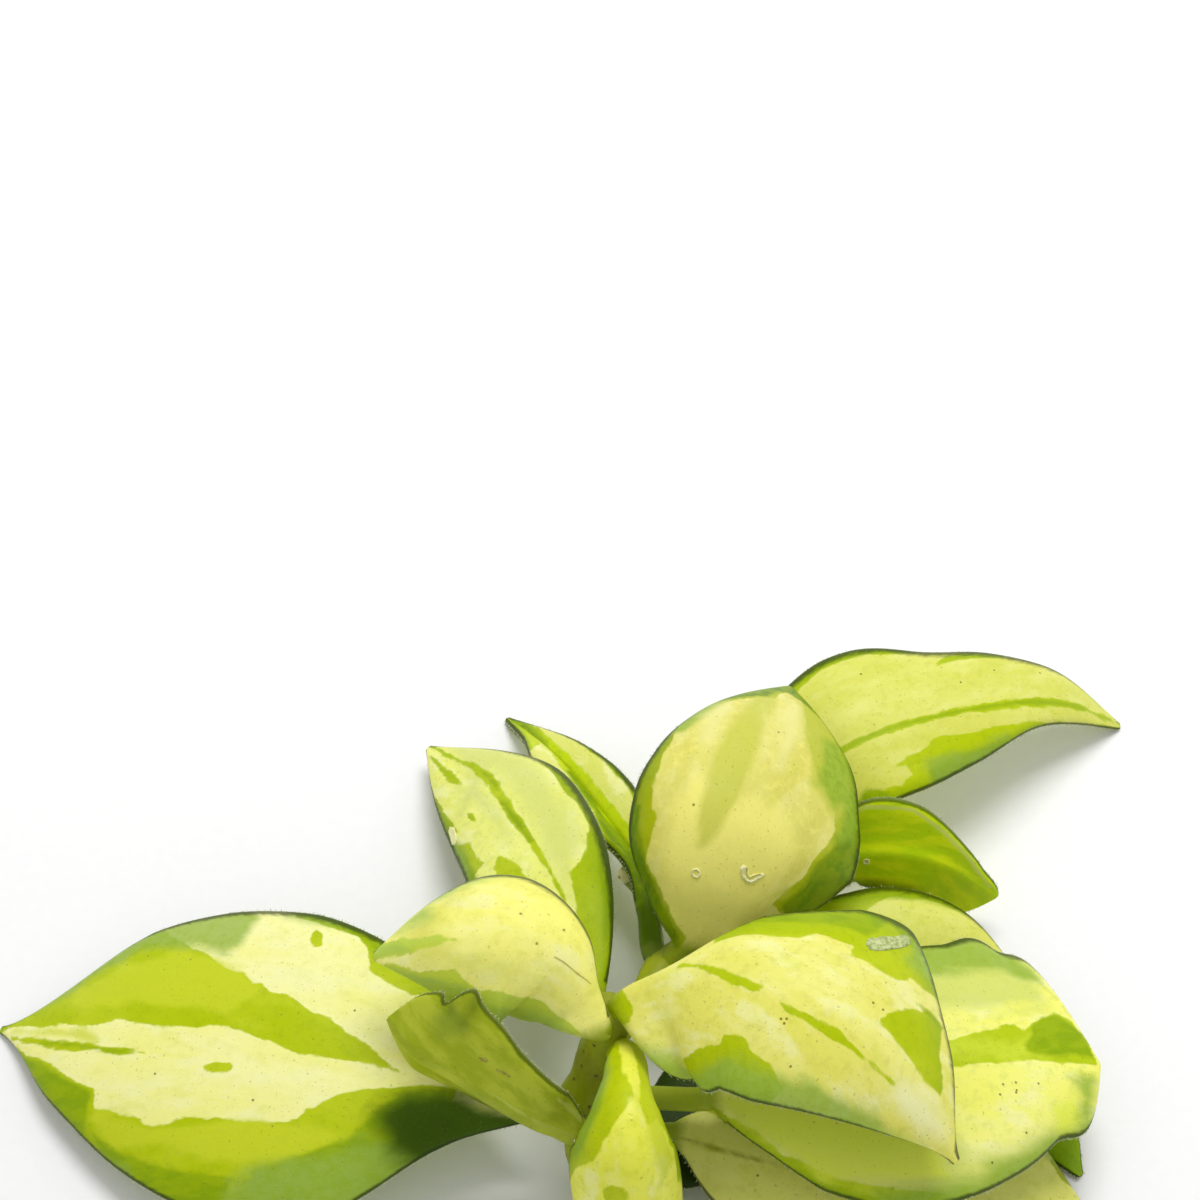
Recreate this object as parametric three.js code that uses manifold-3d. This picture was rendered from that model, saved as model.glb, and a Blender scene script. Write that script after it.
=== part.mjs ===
// A leafy cutting of a variegated wax vine, laid on a table: thick pointed leaves in opposite pairs on a
// short green stem and its side shoot. Millimetres, +Z up, the table at z = 0.
import * as THREE from "three";
import { mergeVertices } from "three/addons/utils/BufferGeometryUtils.js";
import Module from "manifold-3d";

const wasm = await Module();
wasm.setup();

// Sizes shared by the whole cutting
const BLADE_THICKNESS = 1.5;
const PETIOLE_RADIUS = 1.05;
const TIP_RADIUS = 0.35;
const STEM_RADIUS = 1.55;
const SHOOT_RADIUS = 1.3;
const YOUNG_RADIUS = 0.65;
const NODE_SWELLING = 0.5; // how far a stem node stands out
const NODE_LENGTH = 2.2;
const SEAT_GAP = 0.3; // between a leaf stalk and the stem it sits on
const CENTRE = [-1.2, 11.8]; // the middle of the footprint, which the origin lies under

// How finely the solids are cut
const STALK_RINGS = 3;
const BLADE_STATIONS = [
  0, 0.03, 0.08, 0.14, 0.22, 0.3, 0.39, 0.48, 0.57, 0.66, 0.75, 0.83, 0.9, 0.95, 0.98, 1,
];
const ACROSS = [-1, -0.88, -0.62, -0.32, 0, 0.32, 0.62, 0.88, 1];
const STEM_SIDES = 12;
const STEM_STEP = 1.6;

// Stem joints, from the cut end to the growing tip, and along the side shoot
const JOINTS = {
  cut: [1, -13.5, 2],
  first: [-1, -7.6, 5],
  second: [-2, -5.2, 8.5],
  third: [0, -2.8, 13.5],
  fourth: [0.6, -1.5, 17],
  shootFirst: [5.7, 8, 9.5],
  shootSecond: [9.8, 14, 8],
  shootThird: [13.9, 21, 8.5],
};

// One entry per leaf. The rib starts on the axis of the stem, and its second point is where the blade
// begins. "face" is the way the upper side looks at the base and at the tip. "left" and "right" are the
// widths from the rib to each margin at sixths of the blade, seen from above with the tip ahead. "blunt"
// above 1 rounds the tip off and below 1 sharpens it, and "full" above 1 rounds the base. "fold" is the
// slope of each half at the rib and "curl" its further slope out to the margin, in degrees. "stalk" is the
// rib point where the blade begins, if not the second, and "color" is the mean colour of the leaf.
const LEAVES = [
  {
    name: "leaf_left_large",
    color: 0xc6d45a,
    rib: [
      JOINTS.second, [-5, -4.6, 7.5], [-13, -3.3, 8.8], [-29, -1.8, 9.5], [-46.5, 3, 5.2],
      [-56.4, 7.1, 0.2],
    ],
    face: [[0, -0.25, 1], [0, -0.1, 1]],
    left: [5, 11.5, 12.8, 10.4, 5.5],
    right: [8.5, 13.9, 15.6, 14.9, 10.6],
    fold: [0, 0],
    curl: [-25, -20],
    blunt: -0.5,
  },
  {
    name: "leaf_left_folded",
    color: 0x989f38,
    rib: [
      JOINTS.first, [-1.9, -7.9, 8.5], [-5.4, -7.9, 11.2], [-8.9, -7.2, 14],
      [-12.7, -6, 16.8], [-15.8, -4.8, 18.5], [-18, -2.2, 19],
    ],
    face: [[0.4, 0.6, -0.6], [0.4, 0.6, -0.6]],
    left: [2.9, 3.8, 4.8, 6.2, 6.4],
    right: [0.6, 1.1, 2.4, 3.8, 3.2],
    fold: [0, 45],
    curl: [-5, -5],
    blunt: 5,
  },
  {
    name: "leaf_left_domed",
    color: 0xdbdf70,
    rib: [
      JOINTS.fourth, [0.2, -2.9, 18], [-1.3, -1.2, 20.5], [-3.6, 0.9, 23],
      [-7.3, 2.3, 24.3], [-13.3, 2.8, 23], [-19.6, 3.8, 19],
    ],
    face: [[-0.3, -0.5, 1], [-0.2, -0.3, 1]],
    left: [6.8, 8.6, 7.6, 6.4, 3],
    right: [0.8, 3.9, 6, 5.8, 3.8],
    fold: [-5, -5],
    curl: [-40, -45],
  },
  {
    name: "leaf_back_left",
    color: 0xc2d050,
    rib: [
      JOINTS.third, [-0.6, 3, 13], [-2.5, 10.4, 14.3], [-4.1, 14.7, 14], [-8.6, 25.7, 10],
      [-17.4, 38.3, 2.5],
    ],
    face: [[-0.1, -0.4, 1], [-0.1, -0.1, 1]],
    left: [5.2, 7, 6.8, 6.1, 3.8],
    right: [2.8, 5, 5.9, 6, 3.9],
    fold: [0, 0],
    curl: [-25, -25],
  },
  {
    name: "leaf_back_narrow",
    color: 0x9fb040,
    rib: [
      JOINTS.shootFirst, [4.8, 10.4, 9.4], [4.5, 14.5, 9.1], [3.3, 20.5, 8.5], [0.3, 26.4, 7.5],
      [-4, 34.6, 5], [-9.6, 43.7, 0.2],
    ],
    face: [[0.2, -0.2, 1], [0.1, 0, 1]],
    left: [0.4, 1.8, 3, 2.5, 0.7],
    right: [2.3, 3.4, 3.5, 2.6, 1.3],
    fold: [30, 30],
    curl: [-20, -20],
    stalk: 2,
  },
  {
    name: "leaf_centre_round",
    color: 0xcccb82,
    rib: [
      JOINTS.shootFirst, [7.5, 9.3, 12], [10.2, 12.4, 18], [12.7, 17.1, 21.5],
      [15.2, 23.8, 21.5], [17.2, 31, 18.5], [18.5, 36.4, 15],
    ],
    face: [[0, -1, 0.3], [0.3, 0.2, 1]],
    left: [7, 9.3, 9.2, 8.1, 5.7],
    right: [9.6, 12.8, 13, 11, 8],
    fold: [0, 0],
    curl: [-50, -32],
    blunt: 2,
  },
  {
    name: "leaf_back_right",
    color: 0xd6d86c,
    rib: [
      JOINTS.shootThird, [16, 25.4, 9.5], [20.6, 29.6, 11], [26.3, 32.4, 12.5],
      [39.2, 37.5, 10.5], [46.6, 40.8, 6.5], [54, 43, 0.2],
    ],
    face: [[0, -0.2, 1], [0, -0.2, 1]],
    left: [7.8, 9.7, 7.6, 6.4, 4.3],
    right: [5, 5.9, 4.5, 2.1, 1.1],
    fold: [0, 0],
    curl: [-20, -20],
  },
  {
    name: "leaf_right_dark",
    color: 0x7c9428,
    rib: [JOINTS.shootThird, [19.2, 19.9, 7], [24, 21.2, 9.3], [31.4, 20.9, 9], [38.3, 19.8, 4]],
    face: [[0, 0.8, -0.6], [0, 0.8, -0.6]],
    left: [2, 3.5, 5, 5.6, 5],
    right: [1.9, 4.7, 4.5, 2.4, 1.2],
    fold: [20, 0],
    curl: [-20, -20],
    blunt: 4,
  },
  {
    name: "leaf_right_pale",
    color: 0xdde08a,
    rib: [JOINTS.shootSecond, [13.3, 12.7, 6.5], [23.5, 12.8, 6.8], [31, 12.8, 6.3], [39.3, 11.4, 3]],
    face: [[0, -0.3, 1], [0, -0.3, 1]],
    left: [2, 3.9, 5, 4.6, 3.1],
    right: [2.5, 3.2, 3.5, 3.2, 2.5],
    fold: [0, 0],
    curl: [-20, -20],
    blunt: 1.5,
  },
  {
    name: "leaf_front_right",
    color: 0xd4d968,
    rib: [
      JOINTS.fourth, [1.7, -1.4, 19.3], [6, -0.9, 23.2], [11.3, -2.1, 26],
      [16.7, -4.9, 27], [21.7, -8, 25.5], [26, -10.7, 21.5], [29.7, -13.8, 15.5],
    ],
    face: [[0, -0.1, 1], [0.1, -0.1, 1]],
    left: [0.3, 7.6, 12.5, 12.9, 6.5],
    right: [8.4, 8.9, 8.8, 6.7, 3.7],
    fold: [-5, -5],
    curl: [-30, -40],
    blunt: -0.5,
    full: 6.5,
  },
  {
    name: "leaf_right_large",
    color: 0xdcdc80,
    rib: [
      JOINTS.second, [3.6, -4.5, 8.8], [9.8, -5.3, 10.3], [17.4, -4.5, 12.5],
      [30.7, -3.1, 12.8], [44.7, -0.8, 8],
    ],
    face: [[0, 0, 1], [0, 0, 1]],
    left: [5, 9.5, 11.8, 12.6, 12.9],
    right: [7.4, 10.8, 11.7, 10.3, 6.9],
    fold: [0, 0],
    curl: [-15, -30],
    stalk: 2,
    blunt: 6.5,
  },
  {
    name: "leaf_right_low",
    color: 0xb3af50,
    rib: [JOINTS.first, [6.6, -6.3, 5.5], [13.5, -8.5, 6.5], [26.4, -11, 5.5], [43.3, -11.2, 0.3]],
    face: [[0, -0.1, 1], [0, -0.1, 1]],
    left: [5, 7, 8, 9.5, 9.5],
    right: [5, 7.5, 8.5, 8, 5],
    fold: [0, 0],
    curl: [-8, -20],
  },
  {
    name: "leaf_right_lowest",
    color: 0x8bae32,
    rib: [
      JOINTS.cut, [5, -9.3, 2.2], [12, -5.2, 1.9], [27.4, -2.5, 0.9], [39.8, -3.2, 0.5], [43.4, -7.8, 0.4],
    ],
    face: [[0, 0, 1], [0, 0, 1]],
    left: [9, 8, 6.5, 5, 4],
    right: [3, 4, 5, 4.5, 2.5],
    fold: [0, 0],
    curl: [-5, -5],
    full: 2,
    thickness: 1.2,
  },
  {
    name: "leaf_front_centre",
    color: 0xbbc94e,
    rib: [
      JOINTS.third, [2, -4, 16.5], [2.2, -10.3, 19.5], [2.2, -14.4, 18], [2.6, -17.5, 12],
      [3.1, -22, 0],
    ],
    face: [[0, -0.2, 1], [0, -1, 0.5]],
    left: [1.8, 4.2, 5.4, 5.5, 4],
    right: [2.2, 4.8, 6.2, 6, 4],
    fold: [-20, -20],
    curl: [-50, -50],
  },
];

const smooth = (a, b, x) => {
  const t = Math.min(1, Math.max(0, (x - a) / (b - a)));
  return t * t * (3 - 2 * t);
};

// Width from rib to margin a share s along the blade, smooth through its widths at sixths.
function breadth(s, widths, blunt = 1, full = 1) {
  const at = [-full * widths[0], 0, ...widths, 0, -blunt * widths.at(-1)];
  const i = Math.min(5, Math.floor(s * 6));
  const u = s * 6 - i;
  const [a, b, c, d] = at.slice(i, i + 4);
  return b + 0.5 * u * (c - a + u * (2 * a - 5 * b + 4 * c - d + u * (3 * (b - c) + d - a)));
}

// A point of the arc from the rib to the margin, for a half blade one unit wide: out, rise and slope.
function arc(t, fold, curl) {
  const slope = fold + curl * t;
  if (Math.abs(curl) < 1e-3) return [t * Math.cos(fold), t * Math.sin(fold), slope];
  return [
    (Math.sin(slope) - Math.sin(fold)) / curl,
    (Math.cos(fold) - Math.cos(slope)) / curl,
    slope,
  ];
}

// Rings of points joined by a skin and closed by a fan at each end.
function loft(rings, start, end) {
  const sides = rings[0].length;
  const points = [...rings.flat(), start, end];
  const faces = [];
  rings.slice(1).forEach((_, r) => {
    for (let k = 0; k < sides; k++) {
      const a = r * sides + k;
      const b = r * sides + ((k + 1) % sides);
      faces.push([a, b, b + sides], [a, b + sides, a + sides]);
    }
  });
  const first = rings.length * sides;
  const last = first - sides;
  for (let k = 0; k < sides; k++) {
    const next = (k + 1) % sides;
    faces.push([first, next, k], [first + 1, last + k, last + next]);
  }
  const solid = new wasm.Manifold(
    new wasm.Mesh({
      numProp: 3,
      vertProperties: new Float32Array(points.flatMap((p) => [p.x, p.y, p.z])),
      triVerts: new Uint32Array(faces.flat()),
    }),
  );
  if (solid.volume() < 0) throw new Error("a loft is inside out");
  return solid;
}

// Arc lengths along a curve at the control point with this number.
function lengthShare(curve, index) {
  const steps = 240;
  const lengths = curve.getLengths(steps);
  return lengths[Math.round((index / (curve.points.length - 1)) * steps)] / lengths[steps];
}

function leafSolid(leaf) {
  const rib = new THREE.CatmullRomCurve3(leaf.rib.map((p) => new THREE.Vector3(...p)));
  rib.arcLengthDivisions = 240;
  const bladeStart = lengthShare(rib, leaf.stalk ?? 1);
  const [faceBase, faceTip] = leaf.face.map((v) => new THREE.Vector3(...v).normalize());
  const radians = (degrees) => degrees.map((d) => (d * Math.PI) / 180);
  const fold = radians(leaf.fold);
  const curl = radians(leaf.curl);
  const thickness = leaf.thickness ?? BLADE_THICKNESS;

  const ring = (along, s) => {
    const centre = rib.getPointAt(along);
    const ahead = rib.getTangentAt(along);
    const up = faceBase.clone().lerp(faceTip, s);
    up.addScaledVector(ahead, -up.dot(ahead)).normalize();
    const right = new THREE.Vector3().crossVectors(ahead, up);
    const broad = [leaf.left, leaf.right].map((widths) => breadth(s, widths, leaf.blunt, leaf.full));
    const edge = PETIOLE_RADIUS + (TIP_RADIUS - PETIOLE_RADIUS) * s;
    const flat = smooth(0, 0.12, s);
    const middle = (2 * PETIOLE_RADIUS * (1 - flat) + thickness * flat) * (1 - 0.5 * s ** 6);
    const power = 2 + 6 * flat;
    const place = (t, side) => {
      const k = t < 0 ? 0 : 1;
      const [out, rise, slope] = arc(Math.abs(t), fold[k] * flat, curl[k] * flat);
      const width = edge + broad[k];
      const half = (side * middle * Math.sqrt(1 - Math.abs(t) ** power)) / 2;
      const sign = Math.sign(t);
      return centre
        .clone()
        .addScaledVector(right, sign * (width * out - half * Math.sin(slope)))
        .addScaledVector(up, width * rise + half * Math.cos(slope));
    };
    const top = ACROSS.map((t) => place(t, 1));
    const under = ACROSS.slice(1, -1).reverse().map((t) => place(t, -1));
    return [...top, ...under];
  };

  const rings = [];
  for (let i = 0; i < STALK_RINGS; i++) rings.push(ring((bladeStart * i) / STALK_RINGS, 0));
  for (const s of BLADE_STATIONS) rings.push(ring(bladeStart + (1 - bladeStart) * s, s));
  return loft(rings, rib.getPointAt(0), rib.getPointAt(1));
}

// A round stem along a curve, swollen at its joints.
function stemSolid(points, radius, joints, grow = 0) {
  const curve = new THREE.CatmullRomCurve3(points.map((p) => new THREE.Vector3(...p)));
  const steps = Math.ceil(curve.getLength() / STEM_STEP);
  const frames = curve.computeFrenetFrames(steps);
  const rings = frames.tangents.map((ahead, i) => {
    const centre = curve.getPointAt(i / steps);
    if (i === 0) centre.addScaledVector(ahead, -grow);
    if (i === steps) centre.addScaledVector(ahead, grow);
    const swelling = joints.reduce((most, joint) => {
      const far = centre.distanceTo(new THREE.Vector3(...joint)) / NODE_LENGTH;
      return Math.max(most, Math.exp(-far * far));
    }, 0);
    const r = radius + NODE_SWELLING * swelling + grow;
    return Array.from({ length: STEM_SIDES }, (_, k) => {
      const turn = (2 * Math.PI * k) / STEM_SIDES;
      return centre
        .clone()
        .addScaledVector(frames.normals[i], r * Math.cos(turn))
        .addScaledVector(frames.binormals[i], r * Math.sin(turn));
    });
  });
  const [start, end] = [0, steps].map((i) => {
    const middle = new THREE.Vector3();
    for (const p of rings[i]) middle.add(p);
    return middle.divideScalar(STEM_SIDES);
  });
  return loft(rings, start, end);
}

const STEM_COLOR = 0x8a9a3a;

function meshOf(solid, name, color, roughness) {
  const { vertProperties, triVerts, numProp } = solid.getMesh();
  const places = new Float32Array((vertProperties.length / numProp) * 3);
  for (let i = 0; i < places.length / 3; i++) {
    for (let k = 0; k < 3; k++) places[3 * i + k] = vertProperties[numProp * i + k];
  }
  const geometry = new THREE.BufferGeometry();
  geometry.setAttribute("position", new THREE.BufferAttribute(places, 3));
  geometry.setIndex([...triVerts]);
  const material = new THREE.MeshStandardMaterial({ color, roughness });
  const mesh = new THREE.Mesh(mergeVertices(geometry, 1e-4), material);
  mesh.name = name;
  mesh.position.set(-CENTRE[0], -CENTRE[1], 0);
  return mesh;
}

// Everything below the table is cut away, which leaves small flats where leaves lie on it
function slab() {
  const box = new THREE.BoxGeometry(300, 300, 40);
  box.deleteAttribute("uv");
  box.deleteAttribute("normal");
  const welded = mergeVertices(box.translate(0, 0, -20), 1e-4);
  return new wasm.Manifold(
    new wasm.Mesh({
      numProp: 3,
      vertProperties: new Float32Array(welded.attributes.position.array),
      triVerts: new Uint32Array(welded.index.array),
    }),
  );
}

const J = JOINTS;
const MAIN_STEM = [[1.6, -16, 1.7], J.cut, J.first, J.second, J.third, J.fourth, [1, -0.6, 19]];
const YOUNG_SHOOT = [J.shootFirst, [5.6, 9.9, 7], [5.4, 13, 6.2], [4.6, 17.8, 5.9], [2.2, 20.6, 6.6]];
const SIDE_SHOOT = [J.third, [2.7, 2.9, 10.7], J.shootFirst, J.shootSecond, J.shootThird, [15, 23.5, 8.8]];
const joints = Object.values(JOINTS);
const table = slab();
const main = stemSolid(MAIN_STEM, STEM_RADIUS, joints);
const roundMain = stemSolid(MAIN_STEM, STEM_RADIUS, joints, SEAT_GAP);
const shoot = stemSolid(SIDE_SHOOT, SHOOT_RADIUS, joints);
const roundShoot = stemSolid(SIDE_SHOOT, SHOOT_RADIUS, joints, SEAT_GAP);
const young = stemSolid(YOUNG_SHOOT, YOUNG_RADIUS, [YOUNG_SHOOT.at(-1)]);

const group = new THREE.Group();
group.name = "hoya_cutting";
group.add(meshOf(main.subtract(table), "main_stem", STEM_COLOR, 0.7));
group.add(meshOf(shoot.subtract(roundMain).subtract(table), "side_shoot", STEM_COLOR, 0.7));
group.add(meshOf(young.subtract(roundShoot), "young_shoot", STEM_COLOR, 0.7));
for (const leaf of LEAVES) {
  const solid = leafSolid(leaf).subtract(roundMain).subtract(roundShoot).subtract(table);
  group.add(meshOf(solid, leaf.name, leaf.color, 0.45));
}

export default group;
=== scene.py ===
import math

import bpy
import numpy as np
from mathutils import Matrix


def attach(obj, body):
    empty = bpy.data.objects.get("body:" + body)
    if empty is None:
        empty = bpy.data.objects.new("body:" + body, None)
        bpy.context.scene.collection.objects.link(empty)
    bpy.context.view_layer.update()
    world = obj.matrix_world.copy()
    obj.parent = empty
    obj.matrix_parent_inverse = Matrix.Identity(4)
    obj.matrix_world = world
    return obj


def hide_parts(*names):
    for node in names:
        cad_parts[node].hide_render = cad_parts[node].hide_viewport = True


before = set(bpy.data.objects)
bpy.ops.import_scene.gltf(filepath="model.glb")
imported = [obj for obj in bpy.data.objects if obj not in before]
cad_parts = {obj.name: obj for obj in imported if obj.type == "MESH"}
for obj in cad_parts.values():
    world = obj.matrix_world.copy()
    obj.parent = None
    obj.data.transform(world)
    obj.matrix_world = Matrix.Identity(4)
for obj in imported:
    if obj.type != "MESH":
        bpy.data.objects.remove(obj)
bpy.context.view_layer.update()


# The viewpoint
# The picture looks down on the cutting from its cut end, with a longish lens held still.
CAMERA_PLACE = (0.0012, -0.11519, 0.19522)
CAMERA_LENS = 70
LOOKING_DOWN = 50

camera_data = bpy.data.cameras.new("camera")
camera_data.lens = CAMERA_LENS
camera_data.clip_start = 0.01
camera = bpy.data.objects.new("camera", camera_data)
camera.location = CAMERA_PLACE
camera.rotation_euler = (math.radians(90 - LOOKING_DOWN), 0, 0)
bpy.context.scene.collection.objects.link(camera)
bpy.context.scene.camera = camera
bpy.context.scene.view_settings.view_transform = "Standard"


# The table and the light
# A plain pale table top. One wide soft lamp hangs over the back of the cutting, a second fills in from
# the front, and the room around is evenly bright.
TABLE_SIZE = 4.0
ROOM_BRIGHTNESS = 0.56
LAMPS = {
    "lamp_over": {"place": (0.08, 0.22, 0.5), "size": 0.36, "power": 2.4},
    "lamp_front": {"place": (-0.15, -0.45, 0.42), "size": 0.5, "power": 0.8},
}


def paint(red, green, blue):
    """A colour as a painter mixes it, 0 to 255, made linear for the shaders."""
    shares = [c / 255 for c in (red, green, blue)]
    return tuple(c / 12.92 if c <= 0.04045 else ((c + 0.055) / 1.055) ** 2.4 for c in shares) + (1.0,)


def add_node(tree, kind, sockets=None, **settings):
    """One shader node with its settings; a socket takes a value or another node's output."""
    node = tree.nodes.new(kind)
    for key, value in settings.items():
        setattr(node, key, value)
    for key, value in (sockets or {}).items():
        if isinstance(value, bpy.types.NodeSocket):
            tree.links.new(value, node.inputs[key])
        else:
            node.inputs[key].default_value = value
    return node


def new_material(name, roughness, specular):
    """An empty dielectric material, with its tree and its surface shader."""
    material = bpy.data.materials.new(name)
    material.use_nodes = True
    tree = material.node_tree
    shader = tree.nodes["Principled BSDF"]
    shader.inputs["Roughness"].default_value = roughness
    shader.inputs["Specular IOR Level"].default_value = specular
    return material, tree, shader


def object_noise(tree, scale, detail):
    """Noise that stays on the piece, with so many lumps to the metre."""
    place = add_node(tree, "ShaderNodeTexCoord").outputs["Object"]
    sockets = {"Vector": place, "Scale": scale, "Detail": detail}
    return add_node(tree, "ShaderNodeTexNoise", sockets).outputs["Fac"]


def mix_colours(tree, factor, first, second):
    """The colour that lies between two others by a factor."""
    sockets = {"Factor": factor, 6: first, 7: second}
    return add_node(tree, "ShaderNodeMix", sockets, data_type="RGBA").outputs[2]


def new_mesh(name, points, faces, material):
    """A smooth mesh piece at the origin."""
    mesh = bpy.data.meshes.new(name)
    mesh.from_pydata([tuple(p) for p in points], [], faces)
    mesh.materials.append(material)
    mesh.polygons.foreach_set("use_smooth", [True] * len(mesh.polygons))
    mesh.update()
    piece = bpy.data.objects.new(name, mesh)
    bpy.context.scene.collection.objects.link(piece)
    return piece


table_material, table_tree, table_shader = new_material("table_paper", 0.8, 0.2)
table_grain = object_noise(table_tree, 900.0, 3.0)
table_shade = mix_colours(table_tree, table_grain, paint(250, 250, 250), paint(255, 255, 255))
table_tree.links.new(table_shade, table_shader.inputs["Base Color"])
half = TABLE_SIZE / 2
corners = [(-half, -half, 0), (half, -half, 0), (half, half, 0), (-half, half, 0)]
table = new_mesh("table_top", corners, [(0, 1, 2, 3)], table_material)

for lamp_name, lamp in LAMPS.items():
    lamp_data = bpy.data.lights.new(lamp_name, "AREA")
    lamp_data.shape = "DISK"
    lamp_data.size = lamp["size"]
    lamp_data.energy = lamp["power"]
    lamp_object = bpy.data.objects.new(lamp_name, lamp_data)
    lamp_object.location = lamp["place"]
    x, y, z = lamp["place"]
    lamp_object.rotation_euler = (-math.atan2(math.hypot(x, y), z), 0, math.atan2(-y, -x) - math.pi / 2)
    bpy.context.scene.collection.objects.link(lamp_object)

room = bpy.data.worlds.new("room")
room.use_nodes = True
room.node_tree.nodes["Background"].inputs["Color"].default_value = (1, 1, 1, 1)
room.node_tree.nodes["Background"].inputs["Strength"].default_value = ROOM_BRIGHTNESS
bpy.context.scene.world = room


# The main stem
# A short green stem, 3 to 4 mm thick, cut off square at the front. It swells at each joint, where a pair
# of leaves sits on it, and carries everything else.
MILLIMETRE = 0.001
FOOTPRINT_MIDDLE = (-1.2, 11.8)
STEM_RADIUS = 1.55
JOINT_SWELLING = 0.5
JOINT_LENGTH = 2.2
STEM_SIDES = 40
STEM_STEP = 0.3
STEM_RIBS = ((5, 0.7, 0.02), (9, -1.3, 0.015))
END_ROUNDING = 0.25
END_LENGTH = 0.35
CUT = (1, -13.5, 2)
FIRST = (-1, -7.6, 5)
SECOND = (-2, -5.2, 8.5)
THIRD = (0, -2.8, 13.5)
FOURTH = (0.6, -1.5, 17)
SHOOT_FIRST = (5.7, 8, 9.5)
SHOOT_SECOND = (9.8, 14, 8)
SHOOT_THIRD = (13.9, 21, 8.5)
JOINTS = [CUT, FIRST, SECOND, THIRD, FOURTH, SHOOT_FIRST, SHOOT_SECOND, SHOOT_THIRD]


def to_metres(points):
    """Millimetres from the cutting's own origin, moved over its footprint and kept above the table."""
    points = np.asarray(points, float)
    moved = points - np.array([*FOOTPRINT_MIDDLE, 0.0])
    moved[..., 2] = np.maximum(moved[..., 2], 0.0)
    return moved * MILLIMETRE


def smooth_step(low, high, value):
    """From 0 at low to 1 at high, without a corner at either."""
    share = np.clip((value - low) / (high - low), 0, 1)
    return share * share * (3 - 2 * share)


class Path:
    """A smooth line through points, measured along its length."""

    def __init__(self, knots, fineness=2400):
        knots = np.array(knots, float)
        p = np.vstack([2 * knots[0] - knots[1], knots, 2 * knots[-1] - knots[-2]])
        reach = np.linspace(0, len(knots) - 1, fineness + 1)
        i = np.minimum(reach.astype(int), len(knots) - 2)
        w = (reach - i)[:, None]
        a, b, c, d = p[i], p[i + 1], p[i + 2], p[i + 3]
        spans = [np.linalg.norm(v - u, axis=1) for u, v in ((a, b), (b, c), (c, d))]
        near, here, far = [np.sqrt(span)[:, None] for span in spans]
        leave = ((b - a) / near - (c - a) / (near + here) + (c - b) / here) * here
        enter = ((c - b) / here - (d - b) / (here + far) + (d - c) / far) * here
        bend = -3 * b + 3 * c - 2 * leave - enter
        twist = 2 * b - 2 * c + leave + enter
        self.line = b + leave * w + bend * w**2 + twist * w**3
        self.knot_count = len(knots)
        steps = np.linalg.norm(np.diff(self.line, axis=0), axis=1)
        self.reach = np.concatenate([[0], np.cumsum(steps)])
        self.length = self.reach[-1]

    def at(self, distance):
        """The point on the line at a distance from its start."""
        return np.stack([np.interp(distance, self.reach, self.line[:, k]) for k in range(3)], axis=-1)

    def ahead(self, distance):
        """The way that the line runs at a distance from its start."""
        step = 0.05
        back = np.clip(np.asarray(distance) - step, 0, self.length)
        front = np.clip(np.asarray(distance) + step, 0, self.length)
        way = self.at(front) - self.at(back)
        return way / np.linalg.norm(way, axis=-1, keepdims=True)

    def knot_distance(self, number):
        """How far along the line one of its knots lies."""
        return self.reach[round(number / (self.knot_count - 1) * (len(self.reach) - 1))]


def skin_faces(rings, sides):
    """Four-sided faces round a row of closed rings, and a fan on each end."""
    faces = []
    for r in range(rings - 1):
        for k in range(sides):
            a, b = r * sides + k, r * sides + (k + 1) % sides
            faces.append((a, b, b + sides, a + sides))
    start, end, last = rings * sides, rings * sides + 1, (rings - 1) * sides
    for k in range(sides):
        following = (k + 1) % sides
        faces.append((start, following, k))
        faces.append((end, last + k, last + following))
    return faces


def round_stem(name, knots, radius, material, swollen):
    """A round stem along its knots, swollen at its joints and a little uneven, as grown wood is."""
    path = Path(knots)
    distances = np.linspace(0, path.length, int(path.length / STEM_STEP) + 1)
    centres = path.at(distances)
    ahead = path.ahead(distances)
    side = np.cross(ahead[0], [0, 0, 1])
    points = []
    for centre, way, distance in zip(centres, ahead, distances):
        side = side - way * side.dot(way)
        side /= np.linalg.norm(side)
        other = np.cross(way, side)
        gaps = [np.linalg.norm(centre - joint) / JOINT_LENGTH for joint in swollen]
        closeness = max((math.exp(-gap * gap) for gap in gaps), default=0.0)
        thick = radius + JOINT_SWELLING * closeness
        for k in range(STEM_SIDES):
            turn = 2 * math.pi * k / STEM_SIDES
            ribs = 1 + sum(depth * math.sin(n * turn + twist * distance) for n, twist, depth in STEM_RIBS)
            edge = 1 - END_ROUNDING * math.exp(-((path.length - distance) / END_LENGTH) ** 2)
            spoke = math.cos(turn) * side + math.sin(turn) * other
            points.append(centre + spoke * thick * ribs * edge)
    points += [centres[0], centres[-1]]
    return new_mesh(name, to_metres(points), skin_faces(len(distances), STEM_SIDES), material)


def stretch_range(tree, value, low, high):
    """A value stretched so that low becomes 0 and high becomes 1."""
    sockets = {"Value": value, "From Min": low, "From Max": high}
    return add_node(tree, "ShaderNodeMapRange", sockets).outputs[0]


def roughen(tree, shader, height, strength, depth):
    """Fine relief on a surface, up to a depth in metres."""
    bump = add_node(tree, "ShaderNodeBump", {"Height": height, "Strength": strength, "Distance": depth})
    tree.links.new(bump.outputs["Normal"], shader.inputs["Normal"])


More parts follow.
